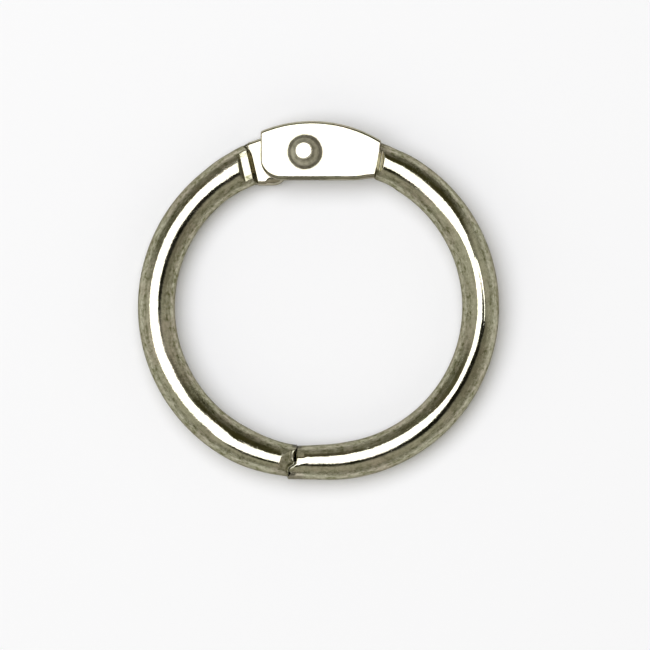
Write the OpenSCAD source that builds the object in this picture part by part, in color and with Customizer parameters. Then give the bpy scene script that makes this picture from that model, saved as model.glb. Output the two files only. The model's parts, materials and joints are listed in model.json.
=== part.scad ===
// Binder ring: two half rings of round wire on a riveted lap hinge, with a hooked closing joint.
// X runs across the ring, Y from the closing joint to the hinge, Z towards the front.
// The origin is the middle of the closed ring's outline, on the wire's mid-plane.

/* [Ring] */
// Inside radius to which each half is bent
bend_r = 12.15; // [11.55:0.1:13.35]
// Distance between the centres of the two bends
bend_spread = 1.3; // [0.8:0.1:1.8]
// Diameter of the round wire
wire_d = 3.3; // [3.1:0.1:3.5]

/* [Hinge] */
// How far the rivet sits to the left of the ring's middle
pivot_offset = 1.2; // [0.8:0.1:1.6]
// Thickness of each flattened end
plate_t = 1.55; // [1.35:0.05:1.6]
// Clearance between the two flattened ends
lap_gap = 0.06; // [0.04:0.01:0.12]
// Run of the steep step where the round wire becomes a flattened end
step_run = 0.36; // [0.2:0.02:0.5]

/* [Front plate, on the right half] */
// From the rivet across to the shoulder where the right half's round wire begins
right_shoulder = 6.45; // [6.15:0.05:6.75]
// Lean of that shoulder's edge, in degrees
right_lean = 10; // [7:1:13]
// Gap between the plate's free end and the left half's shoulder
end_gap = 0.8; // [0.7:0.05:1.1]
// From the rivet out to the crest of the plate's curved edge
plate_above = 2.75; // [2.65:0.05:2.9]
// From the rivet in to the plate's straight edge
plate_below = 2.45; // [2.35:0.05:2.55]
// Radius of the plate's curved edge
crown_r = 11.8; // [10.5:0.1:13]
// How far the crest lies to the right of the rivet
crown_shift = 0.6; // [0.3:0.05:0.9]
// Radius of the free end's inner corner
corner_r = 1.9; // [1:0.1:2.2]
// Radius of the round-bottomed groove pressed beside the plate
groove_r = 0.3; // [0.2:0.02:0.4]

/* [Tongue, on the left half] */
// From the rivet across to the shoulder where the left half's round wire begins
left_shoulder = 4.75; // [4.5:0.05:5.2]
// Lean of that shoulder's edge, in degrees
left_lean = 13; // [9:1:16]
// Width of the tongue at its shoulder
tongue_w = 3.85; // [3.6:0.05:4]
// Radius of the tongue's round end about the rivet
tongue_r = 2.4; // [2.2:0.05:2.5]
// Radius of the bulge on the tongue's inner edge
belly_r = 1.2; // [1:0.05:1.4]
// From the rivet across to the middle of the bulge
belly_reach = 2.8; // [2.6:0.05:3]
// From the rivet in to the lowest point of the bulge
belly_depth = 3.05; // [2.9:0.05:3.15]
// Width of the flat pressed across the wire beside the shoulder
facet_w = 0.75; // [0.5:0.05:1]
// Depth of that flat below the front of the wire
facet_drop = 0.5; // [0.3:0.05:0.7]

/* [Rivet] */
// Diameter of the rivet's shank
shank_d = 1.6; // [1.4:0.05:1.8]
// Running clearance round the shank in the front plate
pivot_fit = 0.05; // [0.03:0.01:0.09]
// How much larger in radius the shank is than its hole in the tongue
press_fit = 0.01; // [0.005:0.005:0.02]
// Diameter of each head
head_d = 3; // [2.6:0.1:3.4]
// Diameter of the flat on top of each head
head_flat_d = 1.5; // [1.2:0.1:1.8]
// Height of each head
head_h = 0.45; // [0.35:0.05:0.6]
// Clearance between the front head and the plate that turns under it
head_gap = 0.05; // [0.03:0.01:0.09]

/* [Closing joint] */
// How far the middle of the cut lies to the left of the ring's middle
cut_offset = 2.15; // [1.8:0.05:2.6]
// Clearance across the cut
cut_gap = 0.08; // [0.06:0.01:0.14]
// How far the right half's hook reaches past the middle of the cut
hook_reach = 0.38; // [0.2:0.02:0.5]
// Height of the slanted flank that leads down to the hook
hook_rise = 0.6; // [0.4:0.05:0.8]
// How far the left half's inner lip leans over the other half
lip_lean = 0.38; // [0.2:0.02:0.5]
// Length of the slope on the front of the left half's closing end
slope_len = 1.2; // [0.8:0.05:1.6]
// Steepness of that slope, in degrees
slope_angle = 25; // [15:1:30]
// Length of the small flat on the right half's closing end
flat_len = 0.9; // [0.6:0.05:1.2]
// Depth of that flat below the round of the wire
flat_depth = 0.12; // [0.06:0.02:0.2]
// Direction that flat faces, in degrees from the front towards the ring's inside
flat_facing = 32; // [25:1:45]

/* [Hidden] */
$fn = 96;

NICKEL = [0.70, 0.67, 0.60];
RIVET_NICKEL = [0.62, 0.59, 0.50];

wire_r = wire_d / 2;
shank_r = shank_d / 2;
// Radius of the wire's centre line in each half
line_r = bend_r + wire_r;
// Bend centre of each half, counted from the ring's middle
bend_x = bend_spread / 2;
// The rivet's axis, on the wire's centre line
pivot = [-pivot_offset, line_r];
// Front face of the front plate, and back face of the tongue at minus this
face_z = lap_gap / 2 + plate_t;
// Room that a cutting shape has past what it cuts
PAST = 1;
// A cutting shape's reach across the wire
WIDE = 4 * wire_d;

// A point on a half's centre line, at a distance across from the rivet. side is -1 left, 1 right
function bend_angle(side, across) = asin((across + side * pivot[0] - bend_x) / line_r);
function on_line(side, across) =
    [side * (bend_x + line_r * sin(bend_angle(side, across))), line_r * cos(bend_angle(side, across))];

left_root = on_line(-1, left_shoulder);
right_root = on_line(1, right_shoulder);
left_angle = bend_angle(-1, left_shoulder);
right_angle = bend_angle(1, right_shoulder);

// Where the tangent from point p touches the circle of radius r round c, on the counter-clockwise side
function touch(p, c, r) =
    let (d = p - c, a = atan2(d[1], d[0]) - acos(r / norm(d)))
    c + r * [cos(a), sin(a)];

// The plate's curved edge
crown_c = pivot + [crown_shift, plate_above - crown_r];
plate_left = pivot[0] - left_shoulder + end_gap;
plate_floor = pivot[1] - plate_below;

// The outline's middle, which is moved to the origin
crest_y = pivot[1] + plate_above;
outline_mid = [0, (crest_y - line_r - wire_r) / 2];

// The cut's line from the ring's inside to its outside, about the wire's axis
lip_foot = 0.45 * wire_r;
cut_reach = wire_r + PAST / 4;
cut_line = [
    [lip_lean, cut_reach],
    [0, lip_foot],
    [0, 0],
    [-hook_reach, -hook_rise],
    [-hook_reach / 2, -cut_reach]
];

// Bent wire of one half from angle start to angle stop, counted from the hinge side round the bend
module bent_wire(side, start, stop) {
    translate([side * bend_x, 0, 0])
        mirror([side < 0 ? 1 : 0, 0, 0])
            rotate([0, 0, 90 - stop])
                rotate_extrude(angle = stop - start)
                    translate([line_r, 0])
                        circle(d = wire_d);
}

// A profile of points [along, height], drawn across the wire at a shoulder. Along counts from the
// shoulder towards the rivet
module across_shoulder(root, side, lean, profile) {
    translate([root[0], root[1], 0])
        rotate([0, 0, -side * lean])
            mirror([side > 0 ? 1 : 0, 0, 0])
                rotate([90, 0, 0])
                    linear_extrude(height = WIDE, center = true)
                        polygon(profile);
}

// A half plane in the flat, on the rivet's side of a shoulder
module rivet_side(root, side, lean) {
    translate(root)
        rotate(-side * lean)
            mirror([side > 0 ? 1 : 0, 0])
                translate([0, -WIDE])
                    square([4 * WIDE, 2 * WIDE]);
}

// What lies past the closing cut: side 1 is what the left half loses, side -1 what the right one does
module past_cut(side) {
    edge = [for (p = cut_line) [-cut_offset - side * cut_gap / 2, -line_r] + p];
    far = side * WIDE - cut_offset;
    linear_extrude(height = wire_d + 2 * PAST, center = true)
        polygon(concat(edge, [[far, -line_r - cut_reach], [far, -line_r + cut_reach]]));
}

// Everything that the left half's front loses at the hinge: the flat, the step and the lap
module left_hinge_cut() {
    facet_z = wire_r - facet_drop;
    facet_end = -step_run / 2 - facet_w;
    high = wire_r + PAST;
    across_shoulder(left_root, -1, left_lean, [
        [facet_end - step_run, high],
        [facet_end, facet_z],
        [-step_run / 2, facet_z],
        [step_run / 2, -lap_gap / 2],
        [WIDE, -lap_gap / 2],
        [WIDE, high]
    ]);
}

// Everything that the right half's back loses at the hinge
module right_hinge_cut() {
    low = -wire_r - PAST;
    across_shoulder(right_root, 1, right_lean, [
        [-step_run / 2, low],
        [step_run / 2, lap_gap / 2],
        [WIDE, lap_gap / 2],
        [WIDE, low]
    ]);
}

// The round-bottomed groove where the front plate meets the round wire
module plate_groove() {
    translate([right_root[0], right_root[1], face_z])
        rotate([0, 0, -right_lean])
            translate([groove_r, 0, 0])
                rotate([90, 0, 0])
                    cylinder(r = groove_r, h = WIDE, center = true);
}

// The slope on the front of the left half's closing end
module tip_slope() {
    fall = slope_len + 2 * PAST;
    translate([-cut_offset - slope_len, -line_r, wire_r])
        rotate([90, 0, 0])
            linear_extrude(height = 2 * wire_d, center = true)
                polygon([[0, 0], [fall, -fall * tan(slope_angle)], [fall, PAST], [0, PAST]]);
}

// The small flat on the inner side of the right half's closing end
module tip_flat() {
    translate([-cut_offset - PAST, -line_r, 0])
        rotate([-flat_facing, 0, 0])
            translate([0, -wire_r, wire_r - flat_depth])
                cube([PAST + flat_len, wire_d, PAST]);
}

module tongue_outline() {
    up = [sin(left_lean), -cos(left_lean)];
    top = left_root - up * tongue_w / 2;
    foot = left_root + up * tongue_w / 2;
    belly = pivot - [belly_reach, belly_depth - belly_r];
    translate(pivot)
        circle(r = tongue_r);
    translate(belly)
        circle(r = belly_r);
    polygon([
        top,
        foot,
        belly - [0, belly_r],
        belly,
        pivot - [0, tongue_r],
        pivot,
        touch(top, pivot, tongue_r)
    ]);
}

module plate_outline() {
    difference() {
        intersection() {
            translate(crown_c)
                circle(r = crown_r);
            translate([plate_left, plate_floor])
                square([2 * WIDE, 2 * WIDE]);
            rivet_side(right_root, 1, right_lean);
        }
        difference() {
            translate([plate_left - PAST, plate_floor - PAST])
                square(corner_r + PAST);
            translate([plate_left + corner_r, plate_floor + corner_r])
                circle(r = corner_r);
        }
    }
}

module on_pivot(z) {
    translate([pivot[0], pivot[1], z])
        children();
}

module left_half() {
    color(NICKEL)
        translate(-outline_mid)
            difference() {
                union() {
                    difference() {
                        bent_wire(-1, left_angle, 180);
                        left_hinge_cut();
                        past_cut(1);
                        tip_slope();
                    }
                    translate([0, 0, -face_z])
                        linear_extrude(height = plate_t)
                            tongue_outline();
                }
                on_pivot(-face_z - PAST)
                    cylinder(r = shank_r - press_fit, h = plate_t + 2 * PAST);
            }
}

module right_half() {
    color(NICKEL)
        translate(-outline_mid)
            difference() {
                union() {
                    difference() {
                        union() {
                            bent_wire(1, right_angle, 180);
                            // The closing end runs straight on from the bend
                            translate([-cut_offset - PAST, -line_r, 0])
                                rotate([0, 90, 0])
                                    cylinder(d = wire_d, h = cut_offset + PAST + bend_x);
                        }
                        right_hinge_cut();
                        past_cut(-1);
                        tip_flat();
                    }
                    translate([0, 0, lap_gap / 2])
                        linear_extrude(height = plate_t)
                            plate_outline();
                }
                plate_groove();
                on_pivot(-PAST)
                    cylinder(r = shank_r + pivot_fit, h = plate_t + 2 * PAST);
            }
}

// Half section of one rivet head above its seat
module head_section() {
    flat_r = head_flat_d / 2;
    side_w = head_d / 2 - flat_r;
    // The round side passes through the flat's rim and the seat's rim, level at the flat
    round_r = (side_w * side_w + head_h * head_h) / (2 * head_h);
    intersection() {
        square([head_d / 2, head_h]);
        union() {
            square([flat_r, head_h]);
            translate([flat_r, head_h - round_r])
                circle(r = round_r);
        }
    }
}

module hinge_rivet() {
    color(RIVET_NICKEL)
        translate(-outline_mid)
            on_pivot(0) {
                front_z = face_z + head_gap;
                translate([0, 0, -face_z])
                    cylinder(d = shank_d, h = face_z + front_z);
                translate([0, 0, front_z])
                    rotate_extrude()
                        head_section();
                mirror([0, 0, 1])
                    translate([0, 0, face_z])
                        rotate_extrude()
                            head_section();
            }
}

left_half();
right_half();
hinge_rivet();
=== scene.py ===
"""The looks of a nickel-plated binder ring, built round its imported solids.

Two half rings of round wire turn on a riveted lap hinge and meet at a hooked cut. Each half is one skin
that grows section by section from the closing cut, along the bend, to its flattened hinge end.
Lengths are in millimetres until a mesh is finished. X runs across the ring, Y towards the hinge, Z to
the front. A point of a section is (outward, height): outward from the wire's middle, away from the ring's,
and towards the front. A pair of values says where something starts and where it ends.
"""

import json
import logging
import math
from dataclasses import dataclass
from enum import Enum
from functools import cache
from typing import Iterator

import bmesh
import bpy
from mathutils import Matrix, Vector


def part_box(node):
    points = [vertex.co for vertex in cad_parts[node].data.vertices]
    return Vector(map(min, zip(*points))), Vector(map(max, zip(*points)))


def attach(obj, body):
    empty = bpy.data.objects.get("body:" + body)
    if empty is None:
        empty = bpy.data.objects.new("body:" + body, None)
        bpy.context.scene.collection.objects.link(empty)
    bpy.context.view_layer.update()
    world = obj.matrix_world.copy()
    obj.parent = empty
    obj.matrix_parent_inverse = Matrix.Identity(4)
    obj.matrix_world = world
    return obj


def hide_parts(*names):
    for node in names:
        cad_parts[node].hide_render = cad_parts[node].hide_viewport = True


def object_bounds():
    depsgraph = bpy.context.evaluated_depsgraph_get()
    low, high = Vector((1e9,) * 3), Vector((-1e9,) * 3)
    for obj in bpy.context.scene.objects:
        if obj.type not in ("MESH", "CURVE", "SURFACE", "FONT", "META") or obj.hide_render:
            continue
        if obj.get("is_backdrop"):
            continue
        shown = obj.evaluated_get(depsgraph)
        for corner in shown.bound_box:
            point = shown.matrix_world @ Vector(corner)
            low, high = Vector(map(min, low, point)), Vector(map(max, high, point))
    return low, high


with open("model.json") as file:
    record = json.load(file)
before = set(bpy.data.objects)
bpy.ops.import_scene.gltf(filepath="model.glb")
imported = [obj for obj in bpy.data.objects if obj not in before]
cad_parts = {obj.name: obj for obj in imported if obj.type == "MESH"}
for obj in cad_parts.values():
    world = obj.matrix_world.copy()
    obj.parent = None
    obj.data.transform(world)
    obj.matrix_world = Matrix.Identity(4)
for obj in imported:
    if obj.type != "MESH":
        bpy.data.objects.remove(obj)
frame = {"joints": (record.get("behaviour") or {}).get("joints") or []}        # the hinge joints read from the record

LOG = logging.getLogger("binder_ring")
MM = 0.001
MERGED = 1e-5            # vertices closer than this, in millimetres, are one
CAD_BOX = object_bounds()

Span = tuple[float, float]
Triple = tuple[float, float, float]
Socket = bpy.types.NodeSocket


# ---------------------------------------------------------------- sizes


class Side(Enum):
    """Which half ring, as the sign of its X."""

    LEFT = -1
    RIGHT = 1


@dataclass(frozen=True)
class RingPlan:
    """The ring's main lines, read from the frame, in millimetres."""

    wire_r: float  # radius of the round wire
    line_r: float  # radius of the wire's centre line in each half
    bend_x: float  # how far each bend's centre lies to its own side
    mid_y: float  # height of both bends' centres
    pivot: Vector
    opened: float  # how far the right half turns, in degrees
    crest_y: float  # top of the front plate's curved edge
    plate_x: float
    tongue_r: float  # radius of the tongue's round end
    head_r: float
    head_top: float
    head_low: float

    @classmethod
    def from_frame(cls) -> "RingPlan":
        """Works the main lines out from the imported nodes' boxes and the hinge.

        Returns:
            The plan of the ring.
        """
        left_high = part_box("left_half")[1] / MM
        right_low, right_high = (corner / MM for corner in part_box("right_half"))
        rivet_low, rivet_high = (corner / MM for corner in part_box("hinge_rivet"))
        hinge = frame["joints"][0]
        pivot = Vector(hinge["pos_m"][:2]) / MM
        wire_r = left_high.z
        line_r = (pivot.y - right_low.y - wire_r) / 2
        return cls(
            wire_r=wire_r,
            line_r=line_r,
            bend_x=right_high.x - line_r - wire_r,
            mid_y=pivot.y - line_r,
            pivot=pivot,
            opened=hinge["range_deg"][1],
            crest_y=right_high.y,
            plate_x=right_low.x,
            tongue_r=left_high.x - pivot.x,
            head_r=(rivet_high.x - rivet_low.x) / 2,
            head_top=rivet_high.z,
            head_low=rivet_low.z,
        )


@dataclass(frozen=True)
class LapSizes:
    """What both flattened ends share, in millimetres."""

    thick: float = 1.55
    gap: float = 0.06
    shank_r: float = 0.8  # radius of the rivet's shank, which the tongue grips
    pivot_fit: float = 0.05  # clearance round the shank in the plate that turns on it
    edge: float = 0.18  # radius that rounds their free ends
    drawn_in: float = 0.6  # how far that rounding draws the sides in, as a share of its fall
    edges: Span = (0.42, 0.34)  # radius that rounds their inner and their outer edge
    least_edge: float = 0.03  # least radius of those at the free end
    least_reach: float = 0.05  # least half width at the free end
    step: float = 0.36  # run of the steep step from the round wire
    valley: float = 0.45  # how dark the foot of the step is painted, as shade, 0 to 1
    valley_run: float = 0.25  # how far that painted shade reaches from the step

    @property
    def face(self) -> float:
        """Height of the front plate's face."""
        return self.gap / 2 + self.thick


@dataclass(frozen=True)
class CutSizes:
    """The hooked cut that closes the ring, in millimetres.

    Heights across the wire are measured from its axis, positive towards the ring's inside. Depths are
    measured from its axis to the front.
    """

    offset: float = 2.15  # how far its middle lies to the left of the ring's middle
    gap: float = 0.05
    hook: float = 0.56  # how far the right half's hook reaches past the middle
    tail: float = 1.1  # where the cut leaves the wire on the outside, as a share of the hook
    rise: float = 0.6  # how far below the axis the slanted flank ends at the hook
    foot: float = 0.1  # how far below the axis it starts
    lip: float = 0.38  # how far the left half's inner lip leans over
    lip_foot: float = 0.74  # where that lip starts
    past: float = 0.25  # how far past the wire the cut's line is drawn
    soft: float = 0.07  # rounding of the cut's corners
    fade: float = 1.7  # length of wire over which the sections turn square again
    lean: float = -0.07  # how far the cut leans along the wire for each length towards the back
    rim: float = 0.04  # radius that rounds its rim
    rim_run: float = 1.4  # width of that rounding along the wire, as a share of the radius
    gape_outer: Span = (-0.1, 0.25)  # heights where the joint starts to gape
    gape_inner: Span = (1.3, 0.9)  # heights where it closes again
    gape_depth: Span = (0.86, 0.98)  # depths where it opens towards the front
    notch: float = 0.15  # how far the right end draws back at the outer edge of the front
    notch_inner: Span = (-0.8, -1.0)  # heights where the notch starts
    notch_outer: Span = (-1.45, -1.2)  # heights where it ends
    notch_depth: Span = (0.75, 1.2)  # depths where it opens towards the front
    shade_level: float = 0.3  # how dark the rim is painted, as shade in the joint, where it has no bevel, 0 to 1
    pinch: float = 0.2  # how much slimmer the wire is across at the cut
    pinch_run: float = 5.5  # length of wire over which it slims

    def line(self, height: float, reach: float) -> float:
        """The cut's X from its middle.

        Args:
            height: height across the wire.
            reach: height at which the cut leaves the wire.

        Returns:
            The offset in X.
        """
        corners = (
            (-reach, -self.hook * self.tail),
            (-self.rise, -self.hook),
            (-self.foot, 0.0),
            (self.lip_foot, 0.0),
            (reach, self.lip),
        )
        if height <= corners[0][0]:
            return corners[0][1]
        for (low, start), (high, end) in zip(corners, corners[1:]):
            if height <= high:
                return start + (end - start) * (height - low) / (high - low)
        return corners[-1][1]

    def softened(self, height: float, wire_r: float) -> float:
        """The cut's X from its middle at a height across the wire, with its corners rounded."""
        heights = [height + self.soft * step for step in (-1.0, -0.5, 0.0, 0.5, 1.0)]
        return sum(self.line(each, wire_r + self.past) for each in heights) / len(heights)


# ---------------------------------------------------------------- shaping helpers


def eased(low: float, high: float, value: float) -> float:
    """A smooth rise from 0, where a value is at low, to 1, where it is at high."""
    share = min(1.0, max(0.0, (value - low) / (high - low)))
    return share * share * (3 - 2 * share)


def bell(off: float, wide: float) -> float:
    """A smooth hump of height 1, by the distance from its middle and its half width."""
    return math.exp(-((off / wide) ** 2))


def soft_least(one: float, other: float, soft: float) -> float:
    """The lesser of two values, with the corner between them rounded by an amount."""
    share = min(1.0, max(0.0, 0.5 + 0.5 * (other - one) / soft))
    return other + (one - other) * share - soft * share * (1 - share) * 0.5


def ramp(low: float, high: float, value: float, soft: float = 0.16) -> float:
    """A straight rise from 0 at low to 1 at high, with a share of it rounded at each end."""
    share = (value - low) / (high - low)
    return soft_least(1.0, -soft_least(0.0, -share, soft), soft)


def stops(start: float, end: float, step: float) -> list[float]:
    """Evenly spaced values from start up to, but not at, end, at most a step apart."""
    count = max(1, math.ceil(abs(end - start) / step))
    return [start + (end - start) * index / count for index in range(count)]


class Outline:
    """Loops of points round a section, matched point for point."""

    AROUND = 160  # points in a loop
    CROWDED = 0.3  # how much closer together a round loop's points lie on top and below
    FLAT_SHARE = 0.6  # share of a slab's points that lie on its flats
    CORNER_SHARE = 0.28  # share of them on its corners. The rest lie on its sides

    @classmethod
    def round(cls, reach: float, high: float) -> list[Vector]:
        """An oval loop that starts at the bottom and runs outward first.

        Args:
            reach: half width.
            high: half height.

        Returns:
            The loop's points.
        """
        even = (math.tau * index / cls.AROUND for index in range(cls.AROUND))
        turns = (turn - cls.CROWDED * math.sin(2 * turn) for turn in even)
        return [Vector((reach * math.sin(turn), -high * math.cos(turn))) for turn in turns]

    @classmethod
    def slab(cls, reach: float, low: float, high: float, corners: Span) -> list[Vector]:
        """A flat loop with rounded corners.

        Args:
            reach: half width.
            low: height of its lower face.
            high: height of its upper face.
            corners: radius of its corners on the inner and on the outer edge.

        Returns:
            The loop's points.
        """
        half = (high - low) / 2
        middle = (high + low) / 2
        inner, outer = (min(corner, half, reach) for corner in corners)
        points = []
        for index in range(cls.AROUND):
            quarter, share = divmod(4 * index / cls.AROUND, 1)
            share = 1 - share if quarter % 2 else share
            out, up = cls._quarter(share, reach, half, outer if quarter < 2 else inner)
            sign_out = 1 if quarter < 2 else -1
            sign_up = -1 if quarter in (0, 3) else 1
            points.append(Vector((sign_out * out, middle + sign_up * up)))
        return points

    @classmethod
    def _quarter(cls, share: float, reach: float, half: float, corner: float) -> Span:
        """A point on one quarter of a slab loop, from the flat's middle to the side's.

        Args:
            share: how far along the quarter, 0 to 1.
            reach: half width.
            half: half height.
            corner: radius of the corner.

        Returns:
            The point's distances outward and up.
        """
        if share < cls.FLAT_SHARE:
            return (reach - corner) * share / cls.FLAT_SHARE, half
        if share < cls.FLAT_SHARE + cls.CORNER_SHARE:
            turn = (share - cls.FLAT_SHARE) / cls.CORNER_SHARE * math.pi / 2
            return reach - corner + corner * math.sin(turn), half - corner + corner * math.cos(turn)
        rest = (1 - share) / (1 - cls.FLAT_SHARE - cls.CORNER_SHARE)
        return reach, (half - corner) * rest

    @staticmethod
    def pressed(loop: list[Vector], facing: Vector, limit: float, soft: float) -> list[Vector]:
        """A loop with all that stands past a flat die pressed back to it, and the flat's edges softened."""
        reach = [point.dot(facing) for point in loop]
        return [p + facing * (soft_least(far, limit, soft) - far) for p, far in zip(loop, reach)]


def stood(at: Vector, outward: Vector, point: Vector) -> Vector:
    """A section's point, stood up across the path at a place and in a direction."""
    return Vector((at.x + outward.x * point.x, at.y + outward.y * point.x, point.y))


@dataclass
class Row:
    """One loop of a skin."""

    points: list[Vector]  # its points, in millimetres
    grain: list[Vector]  # for each point, the length along the metal and its place in the section
    painted_shade: list[float]  # for each point, how dark shade is painted on it, 0 to 1
    smooth: list[float]  # for each point, how smooth pressing or wear has left it, 0 to 1; by the cut partly a painted highlight

    @classmethod
    def across(cls, at: Vector, outward: Vector, loop: list[Vector], along: float,
               smooth: list[float]) -> "Row":
        """A section's loop stood up across the path, so far along the metal."""
        grain = [Vector((along, point.x, point.y)) for point in loop]
        return cls([stood(at, outward, point) for point in loop], grain, [0.0] * len(loop), smooth)

    def mixed(self, other: "Row", shares: list[float]) -> "Row":
        """A row part way to another one.

        Args:
            other: the row to move towards.
            shares: for each point, how far it moves, 0 to 1.

        Returns:
            The mixed row.
        """
        return Row(
            [a.lerp(b, share) for a, b, share in zip(self.points, other.points, shares)],
            [a.lerp(b, share) for a, b, share in zip(self.grain, other.grain, shares)],
            [a + (b - a) * share for a, b, share in zip(self.painted_shade, other.painted_shade, shares)],
            [a + (b - a) * share for a, b, share in zip(self.smooth, other.smooth, shares)],
        )


def metal_layers(mesh: bmesh.types.BMesh) -> tuple[bmesh.types.BMLayerItem, ...]:
    """Adds the layers that the finishes read: the grain's place, the painted shade and the smoothness."""
    layers = mesh.verts.layers
    return layers.float_vector.new("grain"), layers.float.new("painted_shade"), layers.float.new("smooth")


class Skin:
    """A closed skin that grows row by row from one circle of vertices."""

    def __init__(self) -> None:
        """Starts an empty mesh."""
        self.mesh = bmesh.new()
        self.layers = metal_layers(self.mesh)
        self.rim: list[bmesh.types.BMVert] = []

    def grow(self, row: Row) -> None:
        """Extrudes the open rim and sets it at a new row.

        Args:
            row: where the new rim goes.
        """
        if self.rim:
            made = bmesh.ops.extrude_edge_only(self.mesh, edges=self._rim_edges())["geom"]
            fresh = {item for item in made if isinstance(item, bmesh.types.BMVert)}
            self.rim = [self._partner(vert, fresh) for vert in self.rim]
        else:
            made = bmesh.ops.create_circle(self.mesh, segments=len(row.points), radius=1.0)
            self.rim = sorted(made["verts"], key=lambda vert: vert.index)
        for vert, point, *marks in zip(self.rim, row.points, row.grain, row.painted_shade, row.smooth):
            vert.co = point
            for layer, mark in zip(self.layers, marks):
                vert[layer] = mark

    def close(self) -> None:
        """Closes the open rim with one face."""
        bmesh.ops.contextual_create(self.mesh, geom=self._rim_edges())

    def _rim_edges(self) -> list[bmesh.types.BMEdge]:
        """The edges that join each vertex of the open rim to the next."""
        pairs = zip(self.rim, self.rim[1:] + self.rim[:1])
        return [next(edge for edge in a.link_edges if edge.other_vert(a) is b) for a, b in pairs]

    @staticmethod
    def _partner(vert: bmesh.types.BMVert, fresh: set) -> bmesh.types.BMVert:
        """The vertex that an extrusion made from another."""
        return next(e.other_vert(vert) for e in vert.link_edges if e.other_vert(vert) in fresh)


class Bench:
    """Turns a bmesh into a finished piece."""

    BORE_FACETS = 96

    @staticmethod
    def finish(mesh: bmesh.types.BMesh, name: str) -> bpy.types.Object:
        """Merges a mesh's doubles, turns its faces outward and links it at its true size.

        Args:
            mesh: the mesh in millimetres, which is freed.
            name: the piece's name.

        Returns:
            The new object, at the origin.
        """
        bmesh.ops.remove_doubles(mesh, verts=mesh.verts, dist=MERGED)
        bmesh.ops.recalc_face_normals(mesh, faces=mesh.faces)
        bmesh.ops.transform(mesh, matrix=Matrix.Scale(MM, 4), verts=mesh.verts)
        for face in mesh.faces:
            face.smooth = True
        data = bpy.data.meshes.new(name)
        mesh.to_mesh(data)
        mesh.free()
        piece = bpy.data.objects.new(name, data)
        bpy.context.scene.collection.objects.link(piece)
        return piece

    @classmethod
    def bore(cls, piece: bpy.types.Object, at: Vector, radius: float, reach: float) -> None:
        """Bores a round hole along Z through a finished piece.

        Args:
            piece: the piece.
            at: the hole's axis, in millimetres.
            radius: the hole's radius, in millimetres.
            reach: how far the drill runs each way from the lap, in millimetres.
        """
        drill = bmesh.new()
        bmesh.ops.create_cone(drill, cap_ends=True, segments=cls.BORE_FACETS, radius1=radius,
                              radius2=radius, depth=2 * reach)
        bmesh.ops.translate(drill, vec=at.to_3d(), verts=drill.verts)
        tool = cls.finish(drill, "drill")
        cut = piece.modifiers.new("bore", "BOOLEAN")
        cut.operation = "DIFFERENCE"
        cut.solver = "EXACT"
        cut.object = tool
        bpy.context.view_layer.update()
        seen = piece.evaluated_get(bpy.context.evaluated_depsgraph_get())
        bored = bpy.data.meshes.new_from_object(seen)
        piece.modifiers.clear()
        piece.data = bored
        bpy.data.objects.remove(tool)


def place(piece: bpy.types.Object, body: str, node: str, slot: str, material: bpy.types.Material) -> None:
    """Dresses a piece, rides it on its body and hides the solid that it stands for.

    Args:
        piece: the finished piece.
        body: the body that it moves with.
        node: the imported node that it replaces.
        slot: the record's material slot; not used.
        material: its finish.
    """
    piece.data.materials.clear()
    piece.data.materials.append(material)
    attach(piece, body)
    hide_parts(node)
    LOG.info("%s: %d faces on %s", piece.name, len(piece.data.polygons), body)


# ---------------------------------------------------------------- the two halves


@dataclass(frozen=True)
class BendPath:
    """The centre line of one half, by its length from the closing cut's middle."""

    plan: RingPlan
    side: Side
    cut: CutSizes
    angle: float  # how far the shoulder lies from the top of the bend, in radians

    @property
    def straight(self) -> float:
        """Length at which the bend's lowest point lies. It is below 0 where the cut is past it.

        Returns:
            The length.
        """
        if self.side is Side.RIGHT:
            return self.plan.bend_x + self.cut.offset
        return -self.plan.line_r * math.asin((self.cut.offset - self.plan.bend_x) / self.plan.line_r)

    @property
    def length(self) -> float:
        """Length from the cut's middle to the shoulder."""
        return self.straight + self.plan.line_r * (math.pi - self.angle)

    def frame(self, length: float) -> tuple[Vector, Vector]:
        """A point of the centre line and the direction outward there.

        Args:
            length: how far from the cut's middle.

        Returns:
            The point and the unit direction.
        """
        sign = self.side.value
        centre = Vector((sign * self.plan.bend_x, self.plan.mid_y))
        past = length - self.straight
        if past < 0:
            return centre + Vector((sign * past, -self.plan.line_r)), Vector((0.0, -1.0))
        turn = past / self.plan.line_r
        outward = Vector((sign * math.sin(turn), -math.cos(turn)))
        return centre + outward * self.plan.line_r, outward


@dataclass(frozen=True)
class Ridge:
    """A low ridge, or a furrow, that a bending tool left along the crown of the wire.

    Places along the wire are degrees round the bend from its lowest point. Places across it are
    millimetres from the crown, outward.
    """

    run: Span  # where it begins and ends
    fade: float  # over how many degrees it fades at each end
    track: Span  # its places across where it begins and where it ends
    high: float  # its height, in millimetres, below 0 for a furrow
    wide: float  # its half width, in millimetres

    def raised(self, around: float, across: float) -> float:
        """How far the ridge raises the surface.

        Args:
            around: place along the bend, in degrees.
            across: place across the crown, in millimetres.

        Returns:
            The height, in millimetres.
        """
        start, end = self.run
        there = eased(start - self.fade, start, around) * (1 - eased(end, end + self.fade, around))
        middle = self.track[0] + (self.track[1] - self.track[0]) * eased(start, end, around)
        return self.high * there * self.shape(across - middle)

    def shape(self, off: float) -> float:
        """The ridge's height at a distance across from its middle, as a share of its full height."""
        return bell(off, self.wide)


@dataclass(frozen=True)
class Ledge(Ridge):
    """A low step across the crown, which rises outward over its width and then runs out."""

    RUN_OUT = 1.1

    def shape(self, off: float) -> float:
        """The ledge's height at a distance across from its middle, as a share of its full height."""
        return eased(-self.wide, self.wide, off) * (1 - eased(self.wide, self.wide + self.RUN_OUT, off))


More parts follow.
